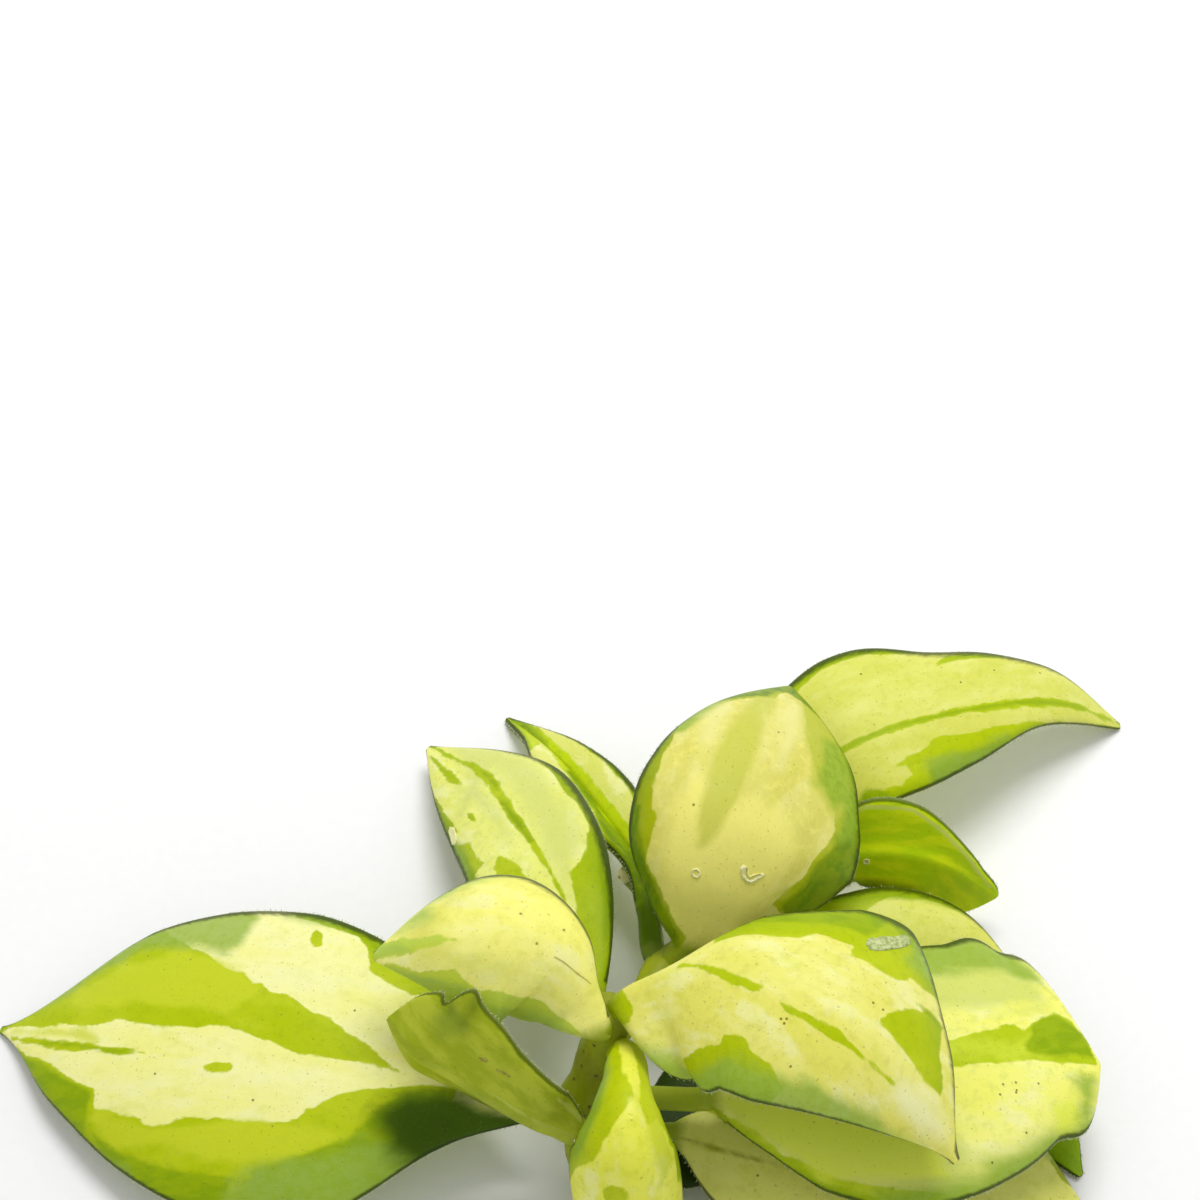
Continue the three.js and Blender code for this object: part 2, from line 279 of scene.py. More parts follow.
def bark_material(name, green, brown, fleck):
    """Bark with a fine grain, clouded from green to brown, with small dark or pale flecks."""
    material, tree, shader = new_material(name, 0.55, 0.3)
    clouds = stretch_range(tree, object_noise(tree, 260.0, 3.0), 0.38, 0.66)
    place = add_node(tree, "ShaderNodeTexCoord").outputs["Object"]
    cells = add_node(tree, "ShaderNodeTexVoronoi", {"Vector": place, "Scale": 900.0})
    flecks = stretch_range(tree, cells.outputs["Distance"], 0.22, 0.1)
    bark_colour = mix_colours(tree, clouds, green, brown)
    bark_colour = mix_colours(tree, flecks, bark_colour, fleck)
    tree.links.new(bark_colour, shader.inputs["Base Color"])
    roughen(tree, shader, object_noise(tree, 1400.0, 4.0), 0.35, 0.00025)
    return material


stem_bark = bark_material("stem_bark", paint(160, 172, 6), paint(136, 142, 18), paint(104, 92, 34))
MAIN_STEM = [(1.6, -16, 1.7), CUT, FIRST, SECOND, THIRD, FOURTH, (1, -0.6, 19)]
main_stem = round_stem("green_main_stem", MAIN_STEM, STEM_RADIUS, stem_bark, JOINTS)
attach(main_stem, "root")
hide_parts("main_stem")


# The side shoot
# A thinner shoot that grew out of the third joint. It runs back and to the right, low over the table,
# and carries the leaves at the back.
SHOOT_RADIUS = 1.3
SIDE_SHOOT = [THIRD, (2.7, 2.9, 10.7), SHOOT_FIRST, SHOOT_SECOND, SHOOT_THIRD, (15, 23.5, 8.8)]
side_shoot = round_stem("green_side_shoot", SIDE_SHOOT, SHOOT_RADIUS, stem_bark, JOINTS)
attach(side_shoot, "root")
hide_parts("side_shoot")


# The young shoot
# A shoot of this year, 1.3 mm thick and paler than the rest. It grows out of the side shoot at its
# first joint, and ends in a small whitish bud.
YOUNG_RADIUS = 0.65
YOUNG_SHOOT = [SHOOT_FIRST, (5.6, 9.9, 7), (5.4, 13, 6.2), (4.6, 17.8, 5.9), (2.2, 20.6, 6.6)]
young_bark = bark_material("young_bark", paint(150, 168, 70), paint(196, 196, 150), paint(226, 222, 200))
young_shoot = round_stem("green_young_shoot", YOUNG_SHOOT, YOUNG_RADIUS, young_bark, [])
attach(young_shoot, "root")
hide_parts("young_shoot")


# The buds
# Two resting buds of corky tissue, grown out of the stems: an egg-shaped whitish one that ends the young
# shoot, and a low round one at the third joint, with a sunken ring round its middle.
BUD_SIDES = 28
EGG_BUD = [
    (0, 0), (0.4, 0.05), (0.62, 0.25), (0.7, 0.6), (0.7, 1), (0.6, 1.35), (0.38, 1.6), (0.14, 1.7),
    (0, 1.71),
]
EGG_SINK = 0.7
LOW_BUD_FOOT = (-0.3, -4.45, 13.95)
LOW_BUD_WAY = (-0.14, -0.87, 0.47)
LOW_BUD = [
    (0, -0.3), (0.9, -0.3), (0.95, 0), (0.88, 0.16), (0.74, 0.24), (0.6, 0.22), (0.5, 0.2), (0.4, 0.27),
    (0.22, 0.34), (0, 0.36),
]


def turned_knob(name, profile, foot, way, material, lumps):
    """A closed knob turned from its profile of (radius, height), with a few soft lumps round it."""
    way = np.array(way, float) / np.linalg.norm(way)
    side = np.cross(way, (1, 0, 0))
    side /= np.linalg.norm(side)
    other = np.cross(way, side)
    points = []
    for radius, height in profile[1:-1]:
        for k in range(BUD_SIDES):
            turn = 2 * math.pi * k / BUD_SIDES
            swell = 1 + lumps * math.sin(3 * turn + 1.1 * height) + 0.5 * lumps * math.sin(7 * turn)
            spoke = math.cos(turn) * side + math.sin(turn) * other
            points.append(np.array(foot) + spoke * radius * swell + way * height)
    points += [np.array(foot) + way * profile[0][1], np.array(foot) + way * profile[-1][1]]
    return new_mesh(name, to_metres(points), skin_faces(len(profile) - 2, BUD_SIDES), material)


bud_skin = bark_material("bud_skin", paint(255, 252, 214), paint(246, 232, 176), paint(170, 130, 70))
shoot_path = Path(YOUNG_SHOOT)
egg_foot = shoot_path.at(shoot_path.length - EGG_SINK)
shoot_bud = turned_knob("bud_of_young_shoot", EGG_BUD, egg_foot, (-0.3, -0.1, 0.9), bud_skin, 0.06)
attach(shoot_bud, "root")
resting_bud = turned_knob("bud_of_third_joint", LOW_BUD, LOW_BUD_FOOT, LOW_BUD_WAY, stem_bark, 0.03)
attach(resting_bud, "root")


# The large leaf at the left
# Leaves are thick and waxy, each on a short round stalk. This is the largest, 54 mm long, and lies with
# its tip on the table. Lime sectors run on both sides of its cream middle, grey-green at the margins.
BLADE_THICKNESS = 1.5
STALK_RADIUS = 1.05
TIP_RADIUS = 0.35
RING_STEP = 0.32
SKIN_STEP = 0.26
TIP_CROWDING = 1.3
GROOVE_DEPTH = 0.02
KEEL_HEIGHT = 0.2
GROOVE_WIDTH = 0.55
RIPPLES = ((3.1, 0.35, 1), (5.3, -0.22, 0.7), (1.9, 0.6, 0.5))
FULL_RIM_WIDTH = 6
LEAST_RIM = 0.3
CLOUD_REACH = 1.8
TEAR_REACH = 0.45
TOOTH_REACH = 0.16
# Among these, the light patches on the round leaf and the leaf at the front right are painted highlights,
# some dark patches are painted shade, and the rim colour is partly painted shade.
PATCH_LABELS = ("wash", "lime", "soft", "green", "grey", "light", "pale", "dark")
LEAF_COLOURS = {
    "cream": paint(248, 247, 146),
    "pale": paint(252, 251, 172),
    "lime": paint(184, 202, 0),
    "soft": paint(207, 218, 44),
    "green": paint(142, 172, 0),
    "grey": paint(146, 176, 66),
    "wash": paint(218, 226, 112),
    "light": paint(250, 250, 186),
    "stalk": paint(150, 168, 12),
    "streak": paint(232, 232, 178),
    "speck": paint(96, 78, 26),
    "fuzz": paint(226, 232, 200),
    "dark": paint(60, 84, 0),
    "rim": paint(46, 62, 8),
}
BACKS = (paint(190, 200, 96), paint(166, 184, 76))
margin_hair_roots = []
leaf_skins = {}


def half_width(share, widths, blunt, full):
    """Rib to margin at a share of the blade, smooth through its widths at sixths."""
    at = np.array([-full * widths[0], 0, *widths, 0, -blunt * widths[-1]], float)
    i = np.minimum(5, (share * 6).astype(int))
    u = share * 6 - i
    a, b, c, d = at[i], at[i + 1], at[i + 2], at[i + 3]
    return b + 0.5 * u * (c - a + u * (2 * a - 5 * b + 4 * c - d + u * (3 * (b - c) + d - a)))


def half_arc(reach, fold, curl):
    """Out, rise and slope of a half blade one unit wide, a share of the way to its margin."""
    slope = fold + curl * reach
    straight = np.abs(curl) < 1e-3
    safe = np.where(straight, 1.0, curl)
    out = np.where(straight, reach * np.cos(fold), (np.sin(slope) - np.sin(fold)) / safe)
    rise = np.where(straight, reach * np.sin(fold), (np.cos(fold) - np.cos(slope)) / safe)
    return out, rise, slope


def patch_field(places, patches):
    """How deep each place lies inside the nearest patch, in millimetres; negative outside."""
    deepest = np.full(len(places), -50.0)
    for patch in patches:
        corners = np.array(patch, float)
        nearest = np.full(len(places), 1e9)
        inside = np.zeros(len(places), bool)
        for start, end in zip(corners, np.roll(corners, -1, axis=0)):
            edge = end - start
            share = np.clip((places - start) @ edge / (edge @ edge), 0, 1)
            gap = np.linalg.norm(places - start - share[:, None] * edge, axis=1)
            nearest = np.minimum(nearest, gap)
            over = (start[1] > places[:, 1]) != (end[1] > places[:, 1])
            if edge[1] != 0:
                crossing = start[0] + (places[:, 1] - start[1]) * edge[0] / edge[1]
                inside ^= over & (places[:, 0] < crossing)
        deepest = np.maximum(deepest, np.where(inside, nearest, -nearest))
    return deepest


def blade_material(name, colours, underside, show_through, specks):
    """Waxy leaf skin. Its markings follow the patches on the blade, torn a little along the veins."""
    material, tree, shader = new_material(name, 0.42, 0.1)
    shader.inputs["Subsurface Weight"].default_value = 0.1
    shader.inputs["Subsurface Radius"].default_value = (1.0, 0.9, 0.2)
    shader.inputs["Subsurface Scale"].default_value = 0.001

    def attribute(label, output="Fac"):
        return add_node(tree, "ShaderNodeAttribute", attribute_name=label).outputs[output]

    def math_node(operation, *values):
        return add_node(tree, "ShaderNodeMath", dict(enumerate(values)), operation=operation).outputs[0]

    def times(*values):
        product = values[0]
        for value in values[1:]:
            product = math_node("MULTIPLY", product, value)
        return product

    def mix(factor, first, second):
        return mix_colours(tree, factor, first, second)

    def between(value, low, high):
        sockets = {"Value": value, "From Min": low, "From Max": high}
        return add_node(tree, "ShaderNodeMapRange", sockets, interpolation_type="SMOOTHSTEP").outputs[0]

    def noise(vector, scale, detail=3.0, rough=0.55):
        sockets = {"Vector": vector, "Scale": scale, "Detail": detail, "Roughness": rough}
        return add_node(tree, "ShaderNodeTexNoise", sockets).outputs["Fac"]

    def swing(value, reach):
        return math_node("MULTIPLY_ADD", value, 2 * reach, -reach)

    skin_place = attribute("skin", "Vector")
    along, across, face = add_node(tree, "ShaderNodeSeparateXYZ", {0: skin_place}).outputs
    slant = math_node("MULTIPLY_ADD", math_node("ABSOLUTE", across), -0.9, along)
    layers = {0: times(slant, 0.5), 1: across, 2: times(face, 31.0)}
    grain = add_node(tree, "ShaderNodeCombineXYZ", layers).outputs[0]
    clouds = noise(grain, 0.2, 2.0)
    tears = noise(grain, 0.7, 3.0)
    teeth = noise(grain, 2.6, 1.0)
    strokes = noise(grain, 0.42, 4.0, 0.62)
    mottle = noise(skin_place, 0.9, 5.0, 0.66)
    pits = noise(skin_place, 3.1, 2.0)
    dust = noise(skin_place, 8.0, 3.0)

    fine_swing = swing(teeth, TOOTH_REACH)
    wander = math_node("ADD", swing(tears, TEAR_REACH), fine_swing)
    drift = math_node("ADD", wander, swing(clouds, CLOUD_REACH))
    to_margin = attribute("rim")
    showing = add_node(
        tree, "ShaderNodeMapRange", {"Value": face, "From Min": -0.2, "From Max": 0.2, "To Min": show_through}
    ).outputs[0]

    def layer(label, torn, low, high, strength=1.0):
        mask = between(math_node("ADD", attribute(label), torn), low, high)
        return times(mask, strength, showing)

    cream = mix(between(clouds, 0.35, 0.65), colours["cream"], colours["pale"])
    cream = mix(times(between(mottle, 0.47, 0.68), 0.42), cream, colours["wash"])
    cream = mix(times(between(tears, 0.5, 0.72), 0.2), cream, colours["soft"])
    cream = mix(times(between(strokes, 0.48, 0.66), 0.5), cream, colours["light"])
    under_tone = mix(between(tears, 0.38, 0.62), underside[0], underside[1])
    skin_colour = mix(between(face, 0.2, -0.2), cream, under_tone)
    skin_colour = mix(layer("wash", drift, -1.2, 1.4, 0.8), skin_colour, colours["wash"])

    lime = mix(times(between(clouds, 0.42, 0.62), 0.45), colours["lime"], colours["soft"])
    lime = mix(times(between(mottle, 0.45, 0.7), 0.25), lime, colours["green"])
    lime = mix(times(between(to_margin, 2.2, 0.3), 0.55), lime, colours["green"])
    skin_colour = mix(layer("lime", wander, -0.1, 0.14), skin_colour, lime)
    skin_colour = mix(layer("soft", drift, -0.5, 0.7, 0.75), skin_colour, colours["soft"])
    green = mix(times(between(tears, 0.42, 0.6), 0.3), colours["green"], colours["lime"])
    skin_colour = mix(layer("green", wander, -0.3, 0.35), skin_colour, green)
    grey = mix(times(between(mottle, 0.4, 0.65), 0.45), colours["grey"], colours["green"])
    skin_colour = mix(layer("grey", drift, -0.8, 1.0, 0.85), skin_colour, grey)
    # Light patches are painted highlights, on the round leaf and the leaf at the front right.
    skin_colour = mix(layer("light", drift, -1.0, 1.2, 0.85), skin_colour, colours["light"])
    skin_colour = mix(layer("pale", fine_swing, -0.08, 0.1, 0.8), skin_colour, colours["streak"])
    # Dark patches: the leaf's own deep green, and on the large and folded leaves at the left and the lowest
    # leaf also painted shade.
    skin_colour = mix(layer("dark", drift, -1.4, 1.6), skin_colour, colours["dark"])

    on_stalk = between(math_node("ADD", along, wander), 1.6, 0.0)
    skin_colour = mix(times(on_stalk, 0.9), skin_colour, colours["stalk"])
    skin_colour = mix(times(between(dust, 0.64, 0.74), 0.3), skin_colour, colours["green"])
    skin_colour = mix(times(between(dust, 0.36, 0.27), 0.3), skin_colour, colours["fuzz"])
    skin_colour = mix(times(between(pits, 0.66, 0.71), 0.3), skin_colour, colours["speck"])
    dots = add_node(tree, "ShaderNodeTexVoronoi", {"Vector": skin_place, "Scale": 0.55}, feature="F1")
    dot_number = add_node(tree, "ShaderNodeSeparateColor", {0: dots.outputs["Color"]}).outputs[0]
    chosen_dots = between(dot_number, 0.72, 0.74)
    dot = times(between(dots.outputs["Distance"], 0.075, 0.045), chosen_dots, 0.5)
    skin_colour = mix(dot, skin_colour, colours["speck"])
    for place in specks:
        spot = add_node(
            tree, "ShaderNodeVectorMath", {0: skin_place, 1: (*place, 1.0)}, operation="DISTANCE"
        ).outputs["Value"]
        skin_colour = mix(times(between(spot, 0.15, 0.07), 0.8), skin_colour, colours["speck"])

    # A dark line along each margin, partly the leaf's own dark green edge and partly painted shade, like the
    # contact shade where one leaf lies over another.
    edge_place = math_node("ADD", to_margin, fine_swing)
    skin_colour = mix(times(between(edge_place, 0.72, 0.3), 0.85), skin_colour, colours["rim"])
    pale_edge = times(between(to_margin, 0.05, 0.0), between(teeth, 0.42, 0.56), 0.5)
    skin_colour = mix(pale_edge, skin_colour, colours["fuzz"])
    tree.links.new(skin_colour, shader.inputs["Base Color"])

    relief = math_node("MULTIPLY_ADD", tears, 0.6, times(mottle, 0.5))
    relief = math_node("MULTIPLY_ADD", dust, 0.22, relief)
    roughen(tree, shader, relief, 0.3, 0.0003)
    tree.links.new(math_node("MULTIPLY_ADD", mottle, 0.25, 0.28), shader.inputs["Roughness"])
    return material


def grow_leaf(
    name, node, slot, rib, face, left, right, fold, curl, patches, colours,
    blunt=1, full=1, stalk=1, thickness=BLADE_THICKNESS, wave=0.1, nicks=(),
    underside=BACKS, show_through=0.3, specks=(), rims=((1, 1), (1, 1)),
):
    """One leaf on its rib: a closed waxy blade with the markings' places stored on it."""
    path = Path(rib)
    start = path.knot_distance(stalk)
    blade = path.length - start
    rings = int(blade / RING_STEP)
    shares = 1 - (1 - np.linspace(0, 1, rings + 1)) ** TIP_CROWDING
    stalk_rings = max(3, int(start / RING_STEP))
    distances = np.concatenate([start * np.arange(stalk_rings) / stalk_rings, start + blade * shares])
    shares = np.concatenate([np.zeros(stalk_rings), shares])
    widest = max(left) + max(right)
    fine = int(widest / SKIN_STEP / 2) * 2
    coarse = max(16, fine // 3 // 2 * 2)
    seen, hidden = (fine, coarse) if slot == "leaf" else (coarse, fine)

    def spread(count):
        even_step = np.linspace(-1, 1, count + 1)
        return 0.6 * even_step + 0.4 * np.sin(math.pi / 2 * even_step)

    top, bottom = spread(seen), spread(hidden)[1:-1][::-1]
    across = np.concatenate([top, bottom])
    facing = np.concatenate([np.ones(len(top)), -np.ones(len(bottom))])

    base_face, tip_face = [np.array(v, float) / np.linalg.norm(v) for v in face]
    ahead = path.ahead(distances)
    up = base_face + (tip_face - base_face) * shares[:, None]
    up -= ahead * np.sum(up * ahead, axis=1, keepdims=True)
    up /= np.linalg.norm(up, axis=1, keepdims=True)
    sideways = np.cross(ahead, up)
    edge = STALK_RADIUS + (TIP_RADIUS - STALK_RADIUS) * shares
    flat = smooth_step(0, 0.12, shares)
    middle = (2 * STALK_RADIUS * (1 - flat) + thickness * flat) * (1 - 0.5 * shares**6)
    power = 2 + 4 * flat
    widths = [edge + half_width(shares, side, blunt, full) for side in (left, right)]
    for half, nick_at, depth, spread_mm in nicks:
        widths[half] = widths[half] - depth * np.exp(-(((distances - start - nick_at) / spread_mm) ** 2))
    folds, curls = np.radians(fold), np.radians(curl)

    t = across[None, :]
    is_left = t < 0
    flat_column = flat[:, None]
    out, rise, slope = half_arc(
        np.abs(t),
        np.where(is_left, folds[0], folds[1]) * flat_column,
        np.where(is_left, curls[0], curls[1]) * flat_column,
    )
    width = np.where(is_left, widths[0][:, None], widths[1][:, None])
    lean = facing[None, :] * middle[:, None] * np.sqrt(np.maximum(0, 1 - np.abs(t) ** power[:, None])) / 2
    away = (distances - start)[:, None] + 0 * t
    apart = t * width
    rng = np.random.default_rng(sum(map(ord, name)))
    phases = rng.uniform(0, 2 * math.pi, len(RIPPLES))
    ripple = sum(
        height * np.sin(away / length + phase + slant * apart)
        for (length, slant, height), phase in zip(RIPPLES, phases)
    )
    lift = wave * ripple * np.abs(t) ** 1.5 * flat_column * (1 - shares[:, None] ** 3)
    tapering = flat_column * (1 - shares[:, None] ** 4)
    rib_relief = np.where(facing > 0, -GROOVE_DEPTH, -KEEL_HEIGHT)[None, :]
    lift = lift + rib_relief * np.exp(-((apart / GROOVE_WIDTH) ** 2)) * tapering
    sign = np.sign(t)
    centre = path.at(distances)[:, None, :]
    points = (
        centre
        + sideways[:, None, :] * (sign * (width * out - lean * np.sin(slope)))[..., None]
        + up[:, None, :] * (width * rise + lean * np.cos(slope) + lift)[..., None]
    )
    ring_count, sides = len(distances), len(across)
    flat_points = np.vstack([points.reshape(-1, 3), path.at(0.0), path.at(path.length)])
    piece = new_mesh(name, to_metres(flat_points), skin_faces(ring_count, sides), None)

    places = np.stack([away, apart], axis=-1).reshape(-1, 2)
    places = np.vstack([places, [-start, 0], [blade, 0]])
    faces = np.append(np.tile(facing, ring_count), [1, 1])
    # The width of the dark margin line, own edge colour and painted shade, set per side and wider on the far
    # margins.
    room_for_rim = np.clip(width / FULL_RIM_WIDTH, LEAST_RIM, 1)
    side_rims = [np.interp(shares, (0, 1), side)[:, None] for side in rims]
    rim_width = np.where(is_left, *side_rims) * room_for_rim
    to_margin = ((1 - np.abs(t)) * width / rim_width).reshape(-1)
    to_margin = np.append(to_margin, [1, 0])
    to_margin = np.where(places[:, 0] < 1, 2.0, to_margin)
    for label in PATCH_LABELS:
        depth = patch_field(places, patches.get(label, []))
        piece.data.attributes.new(label, "FLOAT", "POINT").data.foreach_set("value", depth)
    piece.data.attributes.new("rim", "FLOAT", "POINT").data.foreach_set("value", to_margin)
    skin = np.column_stack([places, faces])
    piece.data.attributes.new("skin", "FLOAT_VECTOR", "POINT").data.foreach_set("vector", skin.ravel())

    chosen = {**LEAF_COLOURS, **colours}
    piece.data.materials[0] = blade_material(name + "_skin", chosen, underside, show_through, specks)
    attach(piece, "root")
    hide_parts(node)

    for r in range(stalk_rings + 2, ring_count - 1):
        for k in (0, seen):
            root = points[r, k]
            outward = root - points[r, k + (2 if k == 0 else -2)]
            margin_hair_roots.append((root, outward / np.linalg.norm(outward)))
    leaf_skins[name] = (away, apart, points, facing, up)


grow_leaf(
    "large_leaf_left",
    "leaf_left_large",
    "leaf",
    rims=((0.8, 0.8), (1.9, 1.6)),
    rib=[SECOND, (-5, -4.6, 7.5), (-13, -3.3, 8.8), (-29, -1.8, 9.5), (-46.5, 3, 5.2), (-56.4, 7.1, 0.2)],
    face=((0, -0.25, 1), (0, -0.1, 1)),
    left=(5, 11.5, 12.8, 10.4, 5.5),
    right=(8.5, 13.9, 15.6, 14.9, 10.6),
    fold=(0, 0),
    curl=(-25, -20),
    blunt=-0.5,
    patches={
        "lime": [
            [
                (12.5, 0.2), (15.5, 0.8), (20, 1), (23, 1.3), (25, 2), (28, 2.7), (31, 2.9), (33, 2.4),
                (36, 2.2), (39, 2.1), (41, 2.2), (43, 1.5), (47, 1.1), (52, 0.5), (54.5, 0.1), (56, 3),
                (50, 9), (44, 14), (40, 12), (37, 10.8), (34.7, 10.2), (33, 9), (31.5, 8.6), (29.5, 8.3),
                (28.7, 7.5), (27.4, 7.6), (26.5, 6.8), (25, 6.6), (23.5, 6.3), (22, 5.3), (20, 4.9),
                (17.8, 3.4), (16.5, 2.8), (15, 1.6),
            ],
            [
                (8, -0.3), (11, -0.4), (14.5, -1.1), (16.5, -1.6), (18.6, -2.1), (20, -3.2), (20.6, -3.4),
                (21.4, -4.4), (23.6, -5), (25.8, -5.3), (28, -5), (29.6, -5.4), (31, -5.5), (32.4, -6.2),
                (34.6, -6.5), (36, -6), (37.4, -6.2), (39, -5.8), (40.2, -5.8), (40.6, -4.2), (42.4, -3.8),
                (45, -3), (48, -2.3), (50, -1.9), (53, -1), (55, -0.3), (55, -3), (45, -9), (35, -14),
                (20, -15), (8, -9),
            ],
            [
                (36.6, -0.5), (39, -0.9), (42, -0.8), (44, -1.2), (47, -1.3), (53, -0.9), (53, -0.5),
                (48, -0.4), (42, -0.2),
            ],
            [(27.6, -0.8), (28.2, -1.2), (30.4, -1.4), (30.5, -0.9), (29.6, -0.4), (28.2, -0.3)],
            [
                (15.6, 9), (17, 9.8), (17.4, 12), (19, 13.6), (21, 14), (24, 14.8), (27, 15.2), (27, 17),
                (18, 17), (12, 13), (11, 8), (13, 7.8),
            ],
            [(22.3, 12), (23.4, 11.6), (24.2, 12.6), (23.8, 14), (22.6, 13.4)],
        ],
        "soft": [
            [
                (30, 4), (34, 4.4), (38, 4), (43, 3.6), (47, 3.4), (48, 5), (44, 8), (38, 10.5), (34, 9.6),
                (31, 8.4), (28, 6.6),
            ],
            [
                (19, -5), (24, -5.1), (28, -5.2), (32, -6), (36, -6.2), (40, -5.8), (41, -7), (38, -9),
                (33, -8.6), (28, -8.8), (24, -7.8), (20, -7.4), (17, -6),
            ],
            [(42, -0.2), (46, -0.3), (50, -0.3), (53, 0), (48, 0.8), (44, 1)],
        ],
        "green": [
            [(52.5, 1.6), (58, 0.2), (58, -1), (52, -1.8), (54.4, -0.2)],
            [(40.8, -4.6), (43, -3.9), (45, -3.3), (49, -2.4), (52, -1.6), (46, -7), (41, -9), (41, -6)],
            [(37.6, -0.6), (40, -0.9), (44, -0.8), (49, -1), (48, -0.6), (42, -0.4)],
            [
                (9, -0.6), (13, -1.4), (15, -3.4), (16.6, -5.4), (20, -7), (24, -9), (26, -13), (14, -13),
                (6, -6),
            ],
            [(26, -10), (32, -10), (37, -9.2), (40, -8), (37, -13), (26, -15)],
            [(16, 11), (17.4, 13), (21, 14.6), (25, 15.4), (26, 17), (16, 17), (12, 13)],
        ],
        "grey": [
            [
                (31.5, 11), (33, 10.2), (36, 10.6), (39, 10.5), (43, 9.6), (46, 7.4), (49, 4.4), (51, 2.6),
                (53, 1.6), (56, 4), (50, 11), (44, 16), (36, 19), (31.6, 15),
            ],
            [(20, 14.2), (24, 14.8), (28, 15.3), (29, 18), (20, 18)],
            [(10, -5), (16, -5.6), (19, -7), (23, -8.8), (26, -10), (27, -13), (24, -15), (10, -13)],
            [(36, -10.5), (42, -8.5), (47, -5.5), (50, -4), (40, -12), (34, -14)],
        ],
        # The dark patch at the stalk end is partly the leaf's own deep green and partly painted shade under
        # the leaves above it.
        "dark": [[(1, -1), (8, -0.4), (12.5, -1), (14.6, -3.5), (13.4, -6.5), (9, -9), (1, -7)]],
    },
    colours={"grey": paint(154, 184, 74), "wash": paint(234, 238, 138), "dark": paint(64, 92, 0)},
    specks=[(25.3, -3.3), (17.8, 5.7), (35, -2.2)],
)


# The folded leaf at the left
# A leaf of the lowest pair, folded along its rib and standing on edge, so its dull olive underside
# shows. Its keel is a thin pale line, and two creases run in from its broad tip, painted as dark lines
# of shade. A dark patch near its stalk is painted shade too.
OLIVE_BACKS = (paint(164, 180, 30), paint(186, 198, 52))
grow_leaf(
    "folded_leaf_left",
    "leaf_left_folded",
    "leaf_underside",
    rims=((0.6, 0.7), (0.8, 1)),
    rib=[
        FIRST, (-1.9, -7.9, 8.5), (-5.4, -7.9, 11.2), (-8.9, -7.2, 14), (-12.7, -6, 16.8),
        (-15.8, -4.8, 18.5), (-18, -2.2, 19),
    ],
    face=((0.4, 0.6, -0.6), (0.4, 0.6, -0.6)),
    left=(2.9, 3.8, 4.8, 6.2, 6.4),
    right=(0.6, 1.1, 2.4, 3.8, 3.2),
    fold=(0, 45),
    curl=(-5, -5),
    blunt=5,
    wave=0.08,
    nicks=((0, 16.3, -0.7, 0.7), (0, 17.8, 1.3, 0.5), (0, 19.4, 0.5, 1.0)),
    show_through=1.0,
    underside=OLIVE_BACKS,
    patches={
        "grey": [[(16, -6), (17.5, -6), (18, -3.6), (16.5, -2.6), (15.4, -4)]],
        "pale": [
            [(1, -0.15), (5, -0.3), (9, -0.45), (14, -0.45), (14, -0.65), (9, -0.75), (5, -0.6), (1, -0.35)],
            [(1.3, -1.7), (3, -2.6), (5.2, -3.5), (5.3, -3.8), (3, -3.1), (1.2, -2.1)],
        ],
        # The two thin dark lines are painted shade in the creases at the tip; the patch near the stalk is
        # painted shade.
        "dark": [
            [(15.6, -7.6), (15.3, -6.4), (15.6, -5.2), (15.9, -6.4), (16.2, -7.6)],
            [(16.9, -7.3), (17.2, -5.4), (17.7, -5.3), (18, -6.6), (17.8, -7.4)],
            [(5, 0.4), (10, 0.4), (13, 2), (10, 4), (5, 4)],
        ],
    },
    colours={"rim": paint(78, 96, 14), "grey": paint(150, 168, 50), "streak": paint(196, 206, 88)},
)


